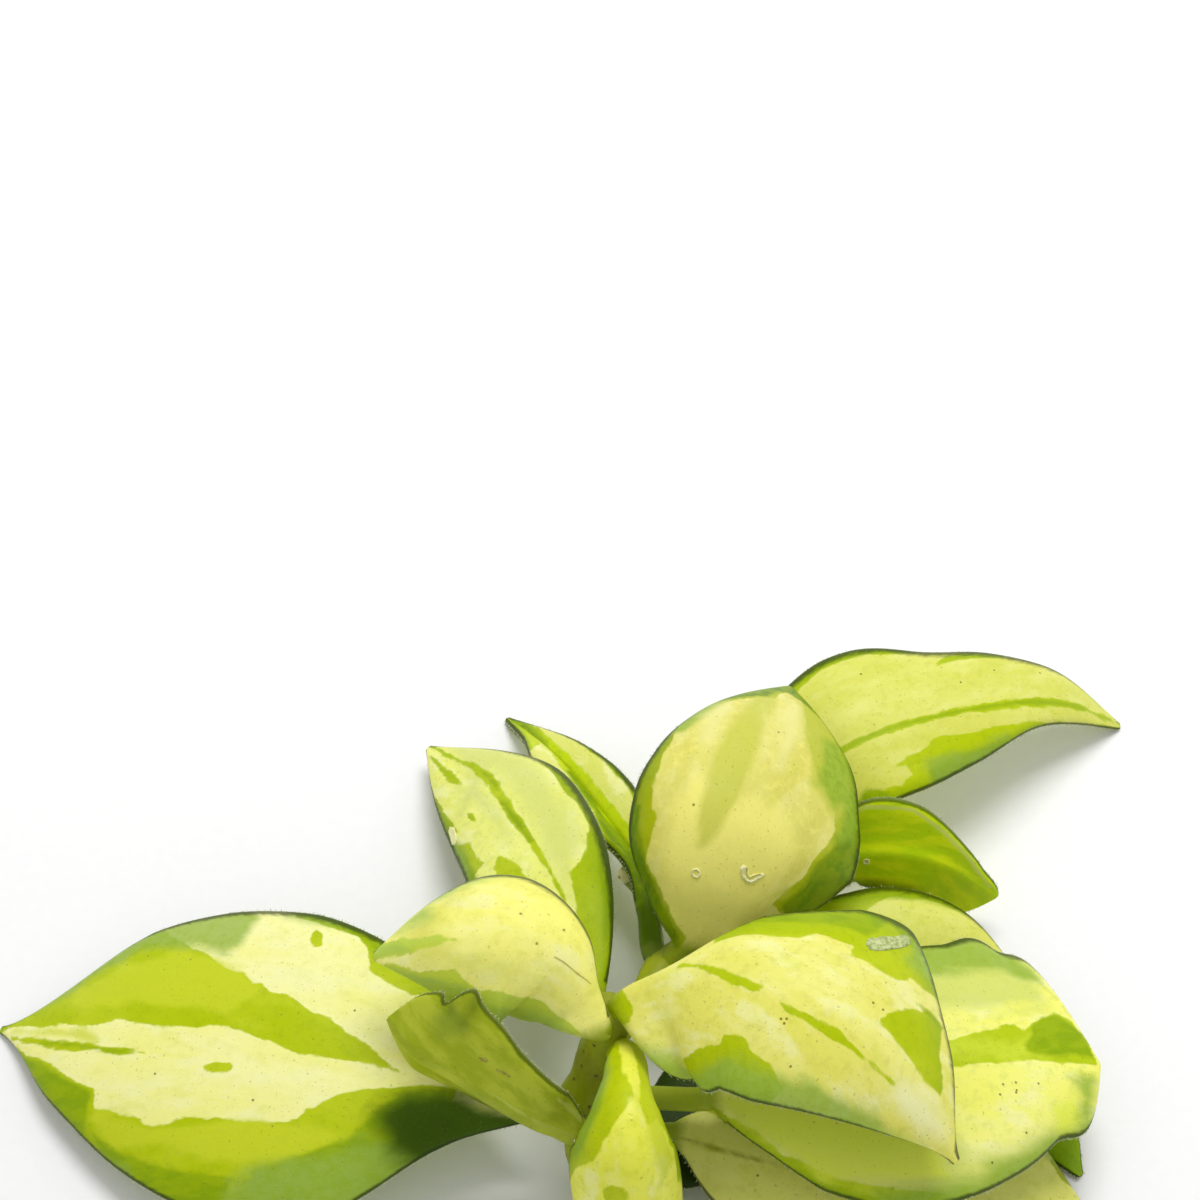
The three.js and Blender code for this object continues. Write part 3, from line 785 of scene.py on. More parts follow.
# The domed leaf at the left
# A pale leaf from the topmost pair, humped like a spoon over the two leaves below it. Its margins
# and its tip are green.
grow_leaf(
    "domed_leaf_left",
    "leaf_left_domed",
    "leaf",
    rims=((0.8, 0.8), (1.5, 2.2)),
    rib=[
        FOURTH, (0.2, -2.9, 18), (-1.3, -1.2, 20.5), (-3.6, 0.9, 23), (-7.3, 2.3, 24.3), (-13.3, 2.8, 23),
        (-19.6, 3.8, 19),
    ],
    face=((-0.3, -0.5, 1), (-0.2, -0.3, 1)),
    left=(6.8, 8.6, 7.6, 6.4, 3),
    right=(0.8, 3.9, 6, 5.8, 3.8),
    fold=(-5, -5),
    curl=(-40, -45),
    wave=0.08,
    patches={
        "lime": [
            [
                (0.8, -1.3), (2.3, -2.1), (2.9, -2.8), (5, -3), (5.9, -3.6), (8, -4.1), (9.5, -4.4),
                (12.5, -4.4), (15.2, -4.2), (16.2, -3.4), (16.8, -2.4), (18.4, -2.2), (21, -1.7), (24, -0.6),
                (26, -1), (20, -6), (14, -9), (5, -9),
            ],
            [
                (16.5, 0), (19, -0.4), (21, -0.5), (25.5, -0.3), (25.5, 1), (22.4, 0.9), (20.5, 0.6),
                (17.8, 0.5),
            ],
            [(0, 0), (0.6, 0.4), (0.7, 1.4), (0, 1.6)],
        ],
        "green": [
            [
                (17, -3.4), (19.5, -2.6), (23, -1.4), (25.5, -0.4), (25.5, -1.4), (20, -6), (15, -8),
                (14.5, -5),
            ],
            [(21, -0.3), (25.5, -0.2), (25.5, 0.7), (22.5, 0.6)],
            [(5, -5.2), (9, -5.6), (13, -5.8), (15, -5.2), (14, -8), (5, -8)],
        ],
        "wash": [
            [(2, 0.5), (4, 1), (8, 2.8), (12, 4.6), (16, 6), (12, 8), (2, 4)],
            [(16, -2), (20, -1.4), (22, 1), (19, 4), (16, 5), (18, 1)],
            [(11, -3.6), (15, -2.6), (17, -1.8), (14, -1.4), (10, -2.2)],
        ],
        "grey": [
            [(0.4, -2.3), (2, -2.8), (4.6, -4.4), (4.8, -6), (4.2, -9), (0, -4)],
            [(18.6, 1.6), (21, 1), (24, 1.1), (23, 3), (20.6, 4.6), (18.8, 3.4)],
            [(8, 5.8), (13, 6), (17, 4.8), (20, 3.2), (24, 1.2), (24, 5), (15, 9), (7, 8)],
            [(8, -5.6), (13.6, -5.7), (14.5, -8), (7, -8)],
        ],
    },
    colours={
        "cream": paint(254, 250, 130), "pale": paint(254, 252, 150), "grey": paint(168, 198, 92),
        "wash": paint(226, 226, 104), "lime": paint(202, 222, 84), "green": paint(180, 206, 84),
        "speck": paint(150, 132, 62),
    },
    specks=[(8.5, 2.2), (9.8, 0.2), (11.6, 2)],
)


# The leaf at the back left
# A leaf of the third joint that leans back with its tip almost down. Its rib is drawn out in a lime
# streak, and its right margin is green from the stalk to the middle.
grow_leaf(
    "leaf_back_left",
    "leaf_back_left",
    "leaf",
    rims=((1.1, 1.1), (1.6, 2.2)),
    rib=[THIRD, (-0.6, 3, 13), (-2.5, 10.4, 14.3), (-4.1, 14.7, 14), (-8.6, 25.7, 10), (-17.4, 38.3, 2.5)],
    face=((-0.1, -0.4, 1), (-0.1, -0.1, 1)),
    left=(5.2, 7, 6.8, 6.1, 3.8),
    right=(2.8, 5, 5.9, 6, 3.9),
    fold=(0, 0),
    curl=(-25, -25),
    wave=0.12,
    patches={
        "lime": [
            [
                (6, -0.1), (12, -0.25), (16, -0.45), (20.2, -0.8), (22.7, -0.9), (25.6, -0.7), (27.5, -0.4),
                (30, 0), (33, 0.4), (36, 0.3), (42, 0), (42, 0.5), (36, 0.7), (33.4, 1.2), (31, 1.2),
                (28.7, 0.9), (26.5, 0.4), (22.7, 0.2), (16, 0.2), (6, 0.15),
            ],
            [
                (12, -1.6), (13, -3.4), (15, -4.4), (17.6, -4.4), (19, -3.4), (17.4, -2.6), (15, -2.3),
                (13.4, -1.6),
            ],
            [(19.6, -5), (21.4, -5.2), (24, -5), (25.6, -5.7), (27, -6.2), (22, -8), (18, -8)],
            [
                (32.3, -1.3), (34, -1.8), (36.6, -1.5), (39, -0.9), (42, -0.2), (42, -0.5), (37, -0.7),
                (34, -0.9),
            ],
            [(27, -4.9), (29.5, -4.7), (32, -4.4), (36, -3.4), (40, -1.6), (41, -2), (36, -5), (29, -7)],
            [
                (-2, -2), (2, -1.5), (4, 0.3), (8, 0.5), (12.2, 1.5), (13.4, 3), (15, 4), (17.2, 5),
                (19, 5.4), (21, 5.3), (24.4, 5), (27, 5.4), (29.5, 5.5), (27, 7.5), (16, 7.5), (4, 3),
                (-2, 3),
            ],
            [(25.5, -3.2), (27, -3.6), (28.6, -3.2), (27.4, -2.8)],
        ],
        "wash": [
            [(29, -5), (32, -1), (42, 1), (42, 3), (34, 5), (29, 5), (26, 3), (31, 1.5), (28, -4)],
            [
                (14, 0.2), (22, 0.3), (30, 1.4), (38, 0.8), (38, 3), (30, 5), (22, 5), (17, 4.4), (12, 2.4),
                (9, 0.8),
            ],
            [(20, -2), (26, -2.2), (30, -2), (33, -1.8), (30, -0.8), (24, -1.2)],
        ],
        "green": [
            [(18, -0.5), (22.7, -0.7), (25.6, -0.5), (27, -0.2), (22.7, 0), (18, 0)],
            [(27.6, 0.3), (30, 0.5), (32.4, 0.9), (30.6, 0.95), (28.6, 0.7)],
            [(18.5, -6.1), (24, -6.2), (28, -5.8), (28, -9), (16, -9)],
            [(5, 2), (10, 3.4), (14, 4.7), (18, 5.8), (22, 6.2), (28, 5.9), (27, 8), (15, 8), (4, 4)],
            [(29, -5.4), (34, -4.6), (39, -2.7), (42, -1), (40, -5), (30, -9)],
        ],
        "grey": [
            [(20, -6.6), (27, -6.3), (30, -5.7), (36, -4.4), (41, -2), (38, -6), (28, -9), (18, -9)],
        ],
    },
    colours={
        "cream": paint(236, 240, 118), "pale": paint(240, 244, 134), "lime": paint(172, 193, 0),
        "wash": paint(212, 218, 120), "grey": paint(150, 180, 60), "green": paint(132, 160, 0),
    },
)


# The narrow leaf at the back
# A narrow leaf of the side shoot, closed a little along its rib. A lime stripe covers the rib, with
# cream on both sides of it, and the stalk end is deep green.
grow_leaf(
    "narrow_leaf_back",
    "leaf_back_narrow",
    "leaf",
    rims=((0.3, 1.0), (1.5, 2)),
    rib=[
        SHOOT_FIRST, (4.8, 10.4, 9.4), (4.5, 14.5, 9.1), (3.3, 20.5, 8.5), (0.3, 26.4, 7.5),
        (-4, 34.6, 5), (-9.6, 43.7, 0.2),
    ],
    face=((0.2, -0.2, 1), (0.1, 0, 1)),
    left=(0.4, 1.8, 3, 2.5, 0.7),
    right=(2.3, 3.4, 3.5, 2.6, 1.3),
    fold=(30, 30),
    curl=(-20, -20),
    stalk=2,
    wave=0.06,
    patches={
        "lime": [
            [
                (6, -0.7), (20, -0.7), (28, -0.6), (34, 0), (33, 0.9), (30, 1.1), (25, 1.2), (20, 1.3),
                (14, 1.45), (9, 1.6), (6, 1),
            ],
            [(9, 2.4), (12, 3.4), (15, 3.6), (20, 3.2), (24, 2.5), (28, 1.8), (28, 3), (20, 5), (9, 4)],
            [(26, -0.4), (34, 0), (34, -2), (25, -3), (25, -1.8)],
            [(5, -3), (9, -2.6), (13, -1.4), (20, -1.4), (23, -0.9), (20, 0), (5, 0)],
        ],
        "green": [
            [
                (-4, -5), (7, -5), (8.6, -1.9), (11, -1.8), (13, -1.2), (16, -1.3), (20, -1.2), (20, -0.4),
                (15, -0.3), (12, -0.7), (9.5, -0.3), (7.5, 0.6), (6, 4), (-4, 4),
            ],
            [(25, 0.25), (29, 0.15), (33, 0.1), (34, 0.4), (31, 0.95), (26, 0.75)],
            [(13, 3.85), (17, 3.7), (20, 3.4), (23, 2.8), (26, 2.2), (27, 3.5), (14, 5.5)],
        ],
    },
    colours={
        "cream": paint(222, 226, 110), "pale": paint(230, 231, 126), "lime": paint(196, 218, 0),
        "green": paint(120, 152, 0), "stalk": paint(100, 128, 0),
    },
)


# The round leaf in the middle
# An upright round leaf of the side shoot, tinged tan over its lower part. That tan is painted lighter than
# the cream above it, painted light against the shade there. Two old scars lie near its stalk, and its
# right margin is deep green.
grow_leaf(
    "round_leaf_centre",
    "leaf_centre_round",
    "leaf",
    rims=((1.1, 1.6), (1.2, 2.6)),
    rib=[
        SHOOT_FIRST, (7.5, 9.3, 12), (10.2, 12.4, 18), (12.7, 17.1, 21.5), (15.2, 23.8, 21.5),
        (17.2, 31, 18.5), (18.5, 36.4, 15),
    ],
    face=((0, -1, 0.3), (0.3, 0.2, 1)),
    left=(7, 9.3, 9.2, 8.1, 5.7),
    right=(9.6, 12.8, 13, 11, 8),
    fold=(0, 0),
    curl=(-50, -32),
    blunt=2,
    wave=0.1,
    patches={
        "lime": [
            [
                (0, -0.6), (1.5, -0.2), (2.6, -1.8), (4.5, -3.6), (5.4, -4.4), (6.6, -6), (8.4, -6.6),
                (10.6, -6.6), (11.4, -7.4), (13, -8.3), (16, -8.6), (20, -8.4), (24, -7.6), (26, -6.4),
                (27, -5), (28, -4), (29, -2.4), (30, -1), (33, -0.4), (36, 0), (30, -9), (12, -13), (0, -6),
            ],
            [
                (7, 6), (9.3, 7), (10.6, 7.8), (13.2, 8.1), (15.7, 8.7), (18, 9), (20.4, 7.8), (21.6, 5.4),
                (23.6, 4.2), (26, 2.9), (29, 2.2), (32, 1.6), (36, 0.4), (34, 8), (26, 13), (14, 15), (4, 9),
            ],
            [(0, 1.5), (2, 2), (3.8, 4), (5.6, 6), (3, 8), (0, 4)],
        ],
        # The tan wash is partly the leaf's own tint and partly painted light, lighter than the cream, against
        # the shade on this upright part.
        "wash": [
            [
                (1.5, 0), (4, -3), (8, -5.6), (12, -6.4), (15, -5), (14, -3), (15, 0), (16, 3), (13, 6.6),
                (8, 6), (3, 3),
            ],
        ],
        "soft": [
            [
                (9.6, -2.6), (12, -3.4), (16, -3.9), (20, -4), (24, -3.8), (28, -3.3), (31, -2.6), (31, -1.4),
                (27, -1.4), (22, -1.2), (17, -1), (13, -0.9), (10.4, -1.4),
            ],
            [(20, -8), (24, -6.8), (26, -5.6), (29, -3), (26, -1), (30, -1), (28, -9), (20, -10)],
            [(20.4, 4.6), (24, 3), (28, 1.8), (33, 1), (33, 6), (22, 9), (19, 8.6)],
            [(6.5, 4.5), (8.6, 5), (10, 7.2), (8, 7.4)],
        ],
        "green": [
            [
                (0, -1), (1.4, -0.9), (3, -2.6), (5, -4.6), (6.8, -6.4), (8.8, -8), (11, -8.5), (11, -12),
                (0, -8),
            ],
            [(27.5, -5.6), (29, -3.4), (30, -1.6), (33, -0.8), (36, 0), (34, -6), (28, -9)],
            [
                (7.2, 7), (9.6, 8.2), (13, 8.6), (15.5, 9.4), (19, 10), (23, 9.8), (26, 9), (28, 7.4),
                (30, 6), (33, 3), (36, 0.5), (34, 8), (24, 14), (12, 15), (3, 9),
            ],
            [(0, 2), (3, 4.4), (5, 6.4), (2, 8), (-1, 4)],
            [(31.6, -8), (32, -2), (33, 0), (32.2, 3), (32, 8), (37, 8), (37, -8)],
        ],
        # Painted highlights on the dome of the leaf.
        "light": [
            [(31, 0.6), (28, 0.2), (24, 0.2), (19, 0.6), (19, 2), (23, 2.6), (27, 2.2), (31, 1.4)],
            [(19, -4.8), (24, -4.6), (28, -4), (27.4, -4.8), (24, -5.8), (19, -6)],
        ],
        "grey": [
            [(20.5, -7.6), (24, -7), (27, -5.6), (29, -6), (27, -10), (20, -11)],
            [(21, 5.6), (24, 5), (28, 4.4), (29.5, 6), (27, 8.2), (23, 8.6), (20.5, 7.6)],
            [(17, 9.6), (21, 9.4), (25, 9.2), (24, 11), (19, 11.4)],
        ],
    },
    colours={
        "cream": paint(219, 213, 102), "pale": paint(227, 222, 118), "lime": paint(174, 186, 6),
        "soft": paint(196, 200, 72), "green": paint(108, 140, 0), "grey": paint(150, 182, 44),
        "wash": paint(250, 242, 130), "light": paint(234, 230, 146),
    },
    specks=[(24, 0.3), (12.7, -4.2)],
)


# The leaf at the back right
# A long leaf of the shoot's end, reaching back and to the right until its tip is down. One even green
# line runs the whole rib, and its lower margin is lime.
grow_leaf(
    "leaf_back_right",
    "leaf_back_right",
    "leaf",
    rims=((2.0, 2.6), (0.6, 1)),
    rib=[
        SHOOT_THIRD, (16, 25.4, 9.5), (20.6, 29.6, 11), (26.3, 32.4, 12.5), (39.2, 37.5, 10.5),
        (46.6, 40.8, 6.5), (54, 43, 0.2),
    ],
    face=((0, -0.2, 1), (0, -0.2, 1)),
    left=(7.8, 9.7, 7.6, 6.4, 4.3),
    right=(5, 5.9, 4.5, 2.1, 1.1),
    fold=(0, 0),
    curl=(-20, -20),
    wave=0.12,
    patches={
        "lime": [
            [
                (9, -0.2), (16, -0.3), (22, -0.4), (26, -0.5), (30, -0.4), (35, -0.4), (40, -0.4), (43, -0.5),
                (46, -0.1), (42, 0.1), (38, 0.3), (33, 0.6), (29, 0.6), (24, 0.4), (18, 0.5), (9, 0.5),
            ],
            [
                (12.4, 4), (14, 3.5), (17, 3), (19.4, 2.1), (23, 2.2), (28, 1.9), (33, 1.9), (37, 1.9),
                (41, 1.1), (46, 0.2), (42, 3), (30, 5), (20, 8), (8, 9), (9, 5.6), (11, 5), (13.6, 5.6),
                (15.2, 5), (15, 4),
            ],
            [(23, -5.8), (24.6, -6.8), (28, -7.2), (32, -6.4), (31.6, -5.6), (27, -5.8)],
            [(5, -8), (9, -7.6), (10.6, -8), (12, -8.8), (16, -9), (20, -8), (22, -8), (18, -12), (6, -12)],
        ],
        "green": [
            [
                (9, -0.1), (20, -0.2), (30, -0.25), (40, -0.25), (46, 0), (40, 0.1), (32, 0.4), (24, 0.25),
                (9, 0.35),
            ],
            [(17, 5), (22, 4.2), (27, 3.2), (32, 2.6), (36, 2.4), (30, 6), (18, 9)],
            [(9, -8.6), (13, -9.2), (18, -8.8), (24, -7.6), (27, -7.4), (20, -12), (8, -12)],
            [(8, 4.9), (10, 4.5), (11.6, 5.2), (12.6, 6.6), (10, 8), (7, 8)],
        ],
        "grey": [
            [(17, 4), (20, 3.4), (24, 3.2), (27, 3), (24, 6), (17, 7)],
            [(37, -4.6), (40, -3), (43, -1.6), (44, -3), (38, -7)],
        ],
    },
    colours={
        "cream": paint(216, 219, 93), "pale": paint(224, 226, 112), "wash": paint(200, 205, 78),
        "light": paint(230, 232, 134),
    },
    specks=[(15.1, -6.6), (24.3, -3.1), (29, -4), (35, -3.6)],
)


# The dark leaf at the right
# A leaf of the shoot's end that stands on edge with its underside to the light. That side is green
# all over, and a thin pale line runs just inside its upper margin.
DARK_BACKS = (paint(182, 214, 0), paint(208, 226, 6))
grow_leaf(
    "dark_leaf_right",
    "leaf_right_dark",
    "leaf_underside",
    rims=((0.8, 0.8), (0.6, 0.6)),
    rib=[SHOOT_THIRD, (19.2, 19.9, 7), (24, 21.2, 9.3), (31.4, 20.9, 9), (38.3, 19.8, 4)],
    face=((0, 0.8, -0.6), (0, 0.8, -0.6)),
    left=(2, 3.5, 5, 5.6, 5),
    right=(1.9, 4.7, 4.5, 2.4, 1.2),
    fold=(20, 0),
    curl=(-20, -20),
    blunt=4,
    wave=0.08,
    show_through=1.0,
    underside=DARK_BACKS,
    patches={
        "pale": [
            [
                (3.5, 2.6), (7, 5.2), (10.5, 5), (14, 2.9), (17.4, 1.6), (20.4, 0.7), (20.2, 0.4),
                (17.2, 1.2), (14, 2.4), (10.5, 4.6), (7, 4.8), (3.6, 2.2),
            ],
            [(6.7, -0.9), (7, -1.1), (7.2, -0.8), (6.9, -0.4), (6.6, -0.5)],
        ],
        "dark": [[(5, -4), (10, -4.2), (14, -4.4), (14, -6), (5, -6)]],
    },
    colours={"rim": paint(66, 92, 8), "streak": paint(196, 206, 96)},
)


# The pale leaf at the right
# A small cream leaf low on the side shoot, of which little more than one edge shows between the
# leaves above and below it.
grow_leaf(
    "pale_leaf_right",
    "leaf_right_pale",
    "leaf",
    rims=((1.9, 1.9), (0.8, 0.8)),
    rib=[SHOOT_SECOND, (13.3, 12.7, 6.5), (23.5, 12.8, 6.8), (31, 12.8, 6.3), (39.3, 11.4, 3)],
    face=((0, -0.3, 1), (0, -0.3, 1)),
    left=(2, 3.9, 5, 4.6, 3.1),
    right=(2.5, 3.2, 3.5, 3.2, 2.5),
    fold=(0, 0),
    curl=(-20, -20),
    blunt=1.5,
    wave=0.06,
    patches={
        "lime": [
            [
                (0, -7), (0, -2), (6, -1.6), (9, -2.2), (11.4, -2.2), (13, -3.6), (15, -4.8), (20, -4.4),
                (24, -3), (22, -7),
            ],
            [(0, 4), (10, 3), (18, 2.6), (25, 1.6), (26, 4), (12, 6)],
        ],
        "green": [[(0, -6), (4, -3), (9, -3.6), (13, -4), (18, -4), (21, -3.6), (20, -6)]],
    },
    colours={
        "cream": paint(222, 225, 98), "pale": paint(228, 230, 112), "wash": paint(200, 207, 66),
        "light": paint(232, 234, 134),
    },
)


# The leaf at the front right
# The leaf highest on the cutting, pointed and humped, and nearest the eye. Two lime dashes follow its
# rib, a lime patch fills the shoulder of its point, and an old grey scar crosses its far margin.
grow_leaf(
    "leaf_front_right",
    "leaf_front_right",
    "leaf",
    rims=((1.2, 4.4), (0.6, 1.0)),
    rib=[
        FOURTH, (1.7, -1.4, 19.3), (6, -0.9, 23.2), (11.3, -2.1, 26), (16.7, -4.9, 27), (21.7, -8, 25.5),
        (26, -10.7, 21.5), (29.7, -13.8, 15.5),
    ],
    face=((0, -0.1, 1), (0.1, -0.1, 1)),
    left=(0.3, 7.6, 12.5, 12.9, 6.5),
    right=(8.4, 8.9, 8.8, 6.7, 3.7),
    fold=(-5, -5),
    curl=(-30, -40),
    blunt=-0.5,
    full=6.5,
    wave=0.12,
    patches={
        "lime": [
            [
                (9.4, -2.4), (11.7, -3.6), (14.4, -4.4), (15.5, -5), (16.5, -6), (19.4, -6.5), (19.7, -5.3),
                (22, -5.9), (24.4, -6.5), (25.2, -7.6), (27, -8), (29, -8.8), (31, -9.5), (30, -13),
                (18, -18), (8, -10),
            ],
            [
                (24.2, -1.7), (24.6, -2.9), (25.4, -4), (26.6, -5.2), (28.4, -6.4), (30.2, -7.1),
                (30.4, -5.2), (31, -3.7), (32.5, -2.2), (32.6, -1.5), (30.5, -1), (28.2, -1.3), (25.9, -1.5),
            ],
            [
                (7, -0.5), (9.8, -0.25), (11.9, 0.3), (14.4, 0.6), (15.3, 0.8), (14.4, 1.5), (12.5, 1.2),
                (10.2, 0.4),
            ],
            [
                (16.7, 1.5), (18.4, 1.4), (20.2, 1.1), (22, 0.9), (24.6, 1.2), (28.4, 1.15), (28.2, 1.45),
                (24.4, 1.6), (22.8, 1.8), (21.7, 2.2), (19.8, 1.8), (17.5, 1.8),
            ],
            [(-0.5, -0.9), (1.4, -0.9), (2, 0.3), (1.8, 1.6), (1.2, 2.2), (-0.5, 2)],
            [
                (4.8, 6.7), (7.8, 6.8), (10.2, 6.2), (12.3, 6.1), (12.8, 5.3), (15.2, 5), (16.4, 5.8),
                (18.2, 6), (19.6, 6.5), (20.8, 7.2), (21, 11), (8, 12), (4, 9),
            ],
            [(27, 5.9), (31, 4.5), (35, 2.5), (38.4, 0.4), (38.4, 2), (30, 8), (26, 8)],
        ],
        "green": [
            [
                (11.6, -5.4), (14, -6.4), (16, -7.6), (18.4, -8.4), (20, -8.6), (21, -12), (23.6, -11),
                (26, -11.5), (28, -12), (24, -17), (12, -14),
            ],
            [(26.6, -5.9), (28.6, -6.7), (29.8, -6.8), (29.6, -6.2), (28.4, -6.1)],
            [(29.4, -9.9), (32, -7.6), (34, -5.6), (36, -3.6), (34, -9), (30, -13)],
        ],
        "grey": [
            [
                (6.2, 8), (9, 7.7), (12, 6.9), (14.5, 6.4), (18, 6.6), (20.2, 6.4), (23, 5.3), (27, 4.5),
                (31, 3.3), (34, 2.1), (36.6, 1.4), (35, 6), (28, 10), (18, 13), (7, 13),
            ],
            [(24.4, -9.3), (26.6, -9.3), (29, -10), (28, -13), (24.4, -12)],
            [(0.6, 3.4), (1.8, 4.6), (3.6, 5.6), (5.4, 7), (6.6, 8.2), (8, 8), (9, 13), (2, 10), (0, 6)],
        ],
        # A painted highlight near the point, lighter paint where the blade's slope leaves it in shade.
        "light": [[(29, 0.4), (32, -0.6), (35, -1), (38, 0), (35, 1.2), (31, 2.2), (29, 2)]],
    },
    colours={
        "cream": paint(236, 233, 106), "pale": paint(242, 240, 132), "grey": paint(158, 190, 72),
        "wash": paint(210, 210, 94),
    },
    specks=[(18, 2.4), (18, 2.8), (17.6, 2.6), (23.2, -2.8), (20.4, 5.4), (24.2, -2.9)],
)


# The large leaf at the right
# A broad blunt leaf of the second joint, under the one before. A lime band lies along its rib, turning
# green at the tip, and its margin is grey-green all round.
grow_leaf(
    "large_leaf_right",
    "leaf_right_large",
    "leaf",
    rims=((1.0, 2.0), (0.6, 0.9)),
    rib=[
        SECOND, (3.6, -4.5, 8.8), (9.8, -5.3, 10.3), (17.4, -4.5, 12.5), (30.7, -3.1, 12.8),
        (44.7, -0.8, 8),
    ],
    face=((0, 0, 1), (0, 0, 1)),
    left=(5, 9.5, 11.8, 12.6, 12.9),
    right=(7.4, 10.8, 11.7, 10.3, 6.9),
    fold=(0, 0),
    curl=(-15, -30),
    blunt=6.5,
    stalk=2,
    wave=0.14,
    patches={
        "lime": [
            [
                (10, -1.6), (22, -1.9), (24.2, -2.6), (26.3, -3), (27.4, -3.4), (28.6, -3.5), (29.2, -2.8),
                (30.2, -3.6), (31.5, -4.4), (33.4, -5.1), (35, -4.4), (36, -2), (36, 0.2), (32, 0.2),
                (28, 0.3), (25, 0.5), (21.7, 0.9), (10, 1),
            ],
            [(0, 1), (3, 3.4), (5, 6), (8, 8.2), (12, 10), (17, 11.1), (20, 11.6), (14, 14), (0, 6)],
        ],
        # The first wash patch and the first soft patch, at the stalk end, are partly the leaf's own lime and
        # partly painted light, lighter to offset the shade that the leaf above casts there.
        "wash": [
            [(0, 0), (6, 1), (10, 3), (16, 4), (20, 7), (22, 10), (20, 14), (8, 12)],
            [(12, -10), (12, -6.6), (18, -5), (24, -5.2), (30, -5.4), (33.4, -5.6), (34, -12), (22, -14)],
            [(33, -5), (30, -4.6), (26, -4), (30, -6), (34, -7)],
            [(17, 8.6), (22, 9.2), (26, 8), (30, 6), (33, 3.6), (33, 8), (24, 12), (16, 12)],
        ],
        "soft": [
            [(0, 0), (4, 0.6), (9, 2), (14, 3), (18, 5), (19, 10), (8, 9.4)],
            [(30, 4.4), (31.4, 3.2), (33, 2.8), (33.4, 5), (32, 6.4), (30.4, 6.2)],
        ],
        "green": [
            [
                (28.7, -1.4), (29.9, -2.4), (30.3, -3.5), (31.7, -4.4), (33.5, -5), (34.8, -4), (35.8, -3.2),
                (36, -0.5), (33.6, -0.7), (31.7, -0.4), (29.9, -0.5), (28.9, -0.8),
            ],
            [(0, 4), (5, 7.4), (10, 10.2), (14, 11.6), (18, 12.4), (12, 14), (0, 9)],
        ],
        "grey": [
            [
                (10, -8), (21.5, -9), (23.4, -9.4), (26, -9.5), (29.6, -9.6), (33, -8.6), (35, -6), (31, -15),
                (20, -16),
            ],
            [(32.4, 1.6), (34, 1), (35.6, 0.8), (35.4, 3), (34, 5.6), (32.6, 5), (33, 3.4)],
            [
                (13, 10.6), (18, 10.6), (22, 10.6), (26, 9), (28, 8), (30, 6.8), (32, 6.2), (34, 4.6),
                (35, 5), (31, 10), (24, 14), (14, 14),
            ],
        ],
    },
    colours={
        "cream": paint(246, 246, 116), "pale": paint(250, 250, 142), "grey": paint(150, 182, 62),
        "wash": paint(208, 218, 106), "soft": paint(228, 240, 76), "lime": paint(186, 206, 14),
    },
    specks=[
        (25.4, 2.5), (26.7, 2.3), (24.9, 3.4), (26.5, 3.2), (26.6, 3.0), (29, 2.3), (23.3, 9.1), (26.9, 6.6),
    ],
)


# The low leaf at the right
# A leaf of the lowest pair with its tip on the table. The leaves above keep most of it in shade,
# which dulls its cream skin to olive.
grow_leaf(
    "low_leaf_right",
    "leaf_right_low",
    "leaf",
    rims=((1.2, 1.2), (0.8, 1)),
    rib=[FIRST, (6.6, -6.3, 5.5), (13.5, -8.5, 6.5), (26.4, -11, 5.5), (43.3, -11.2, 0.3)],
    face=((0, -0.1, 1), (0, -0.1, 1)),
    left=(5, 7, 8, 9.5, 9.5),
    right=(5, 7.5, 8.5, 8, 5),
    fold=(0, 0),
    curl=(-8, -20),
    wave=0.1,
    patches={
        "lime": [
            [(-1, -3), (2.4, -2.4), (6, -1), (10, 0), (14, 1), (19, 1.5), (18, -2), (8, -5), (-1, -5)],
            [(35, -4), (36, -2.6), (37.6, -1.6), (38.6, -2), (37, -6)],
        ],
        "green": [
            [(0.5, 0.66), (4, 0.72), (8, 0.78), (12, 0.9), (8, 0.94), (4, 0.92)],
            [(-1, -3), (1, -1.6), (2.4, -3), (3, -6), (-1, -5)],
            [(4, 6), (12, 8.4), (22, 9), (30, 6.6), (37, 2), (36, 8), (20, 12), (6, 10)],
        ],
        "grey": [[(34, -5), (35.8, -3.4), (37, -2.4), (38, -3), (36, -8)]],
    },
    colours={
        "cream": paint(232, 233, 118), "pale": paint(238, 238, 130), "wash": paint(206, 210, 84),
        "green": paint(150, 146, 20), "lime": paint(176, 188, 20), "light": paint(232, 232, 128),
    },
    specks=[(8.2, 2.2)],
)


# The lowest leaf at the right
# A plain green leaf that lies flat on the table, held by a short stalk at the foot of the stem. Its
# base is widened and painted near-black green as painted shade, filling the deep gap under the leaves
# above, and only its point shows past the others.
grow_leaf(
    "lowest_leaf_right",
    "leaf_right_lowest",
    "leaf",
    rims=((1, 1), (0.8, 1)),
    rib=[CUT, (5, -9.3, 2.2), (12, -5.2, 1.9), (27.4, -2.5, 0.9), (39.8, -3.2, 0.5), (43.4, -7.8, 0.4)],
    face=((0, 0, 1), (0, 0, 1)),
    # The wide base of the left half is there to carry the painted shade under the leaves above.
    left=(9, 8, 6.5, 5, 4),
    right=(3, 4, 5, 4.5, 2.5),
    fold=(0, 0),
    curl=(-5, -5),
    full=2,
    thickness=1.2,
    wave=0.05,
    patches={
        "green": [[(-2, -12), (48, -12), (48, 9), (-2, 9)]],
        # Painted shade over the base, not the leaf's own colour.
        "dark": [[(-2, -14), (14, -14), (20, -6), (16, 7), (-2, 7)]],
    },
    colours={"green": paint(136, 172, 6), "lime": paint(160, 190, 8), "dark": paint(44, 64, 6)},
)


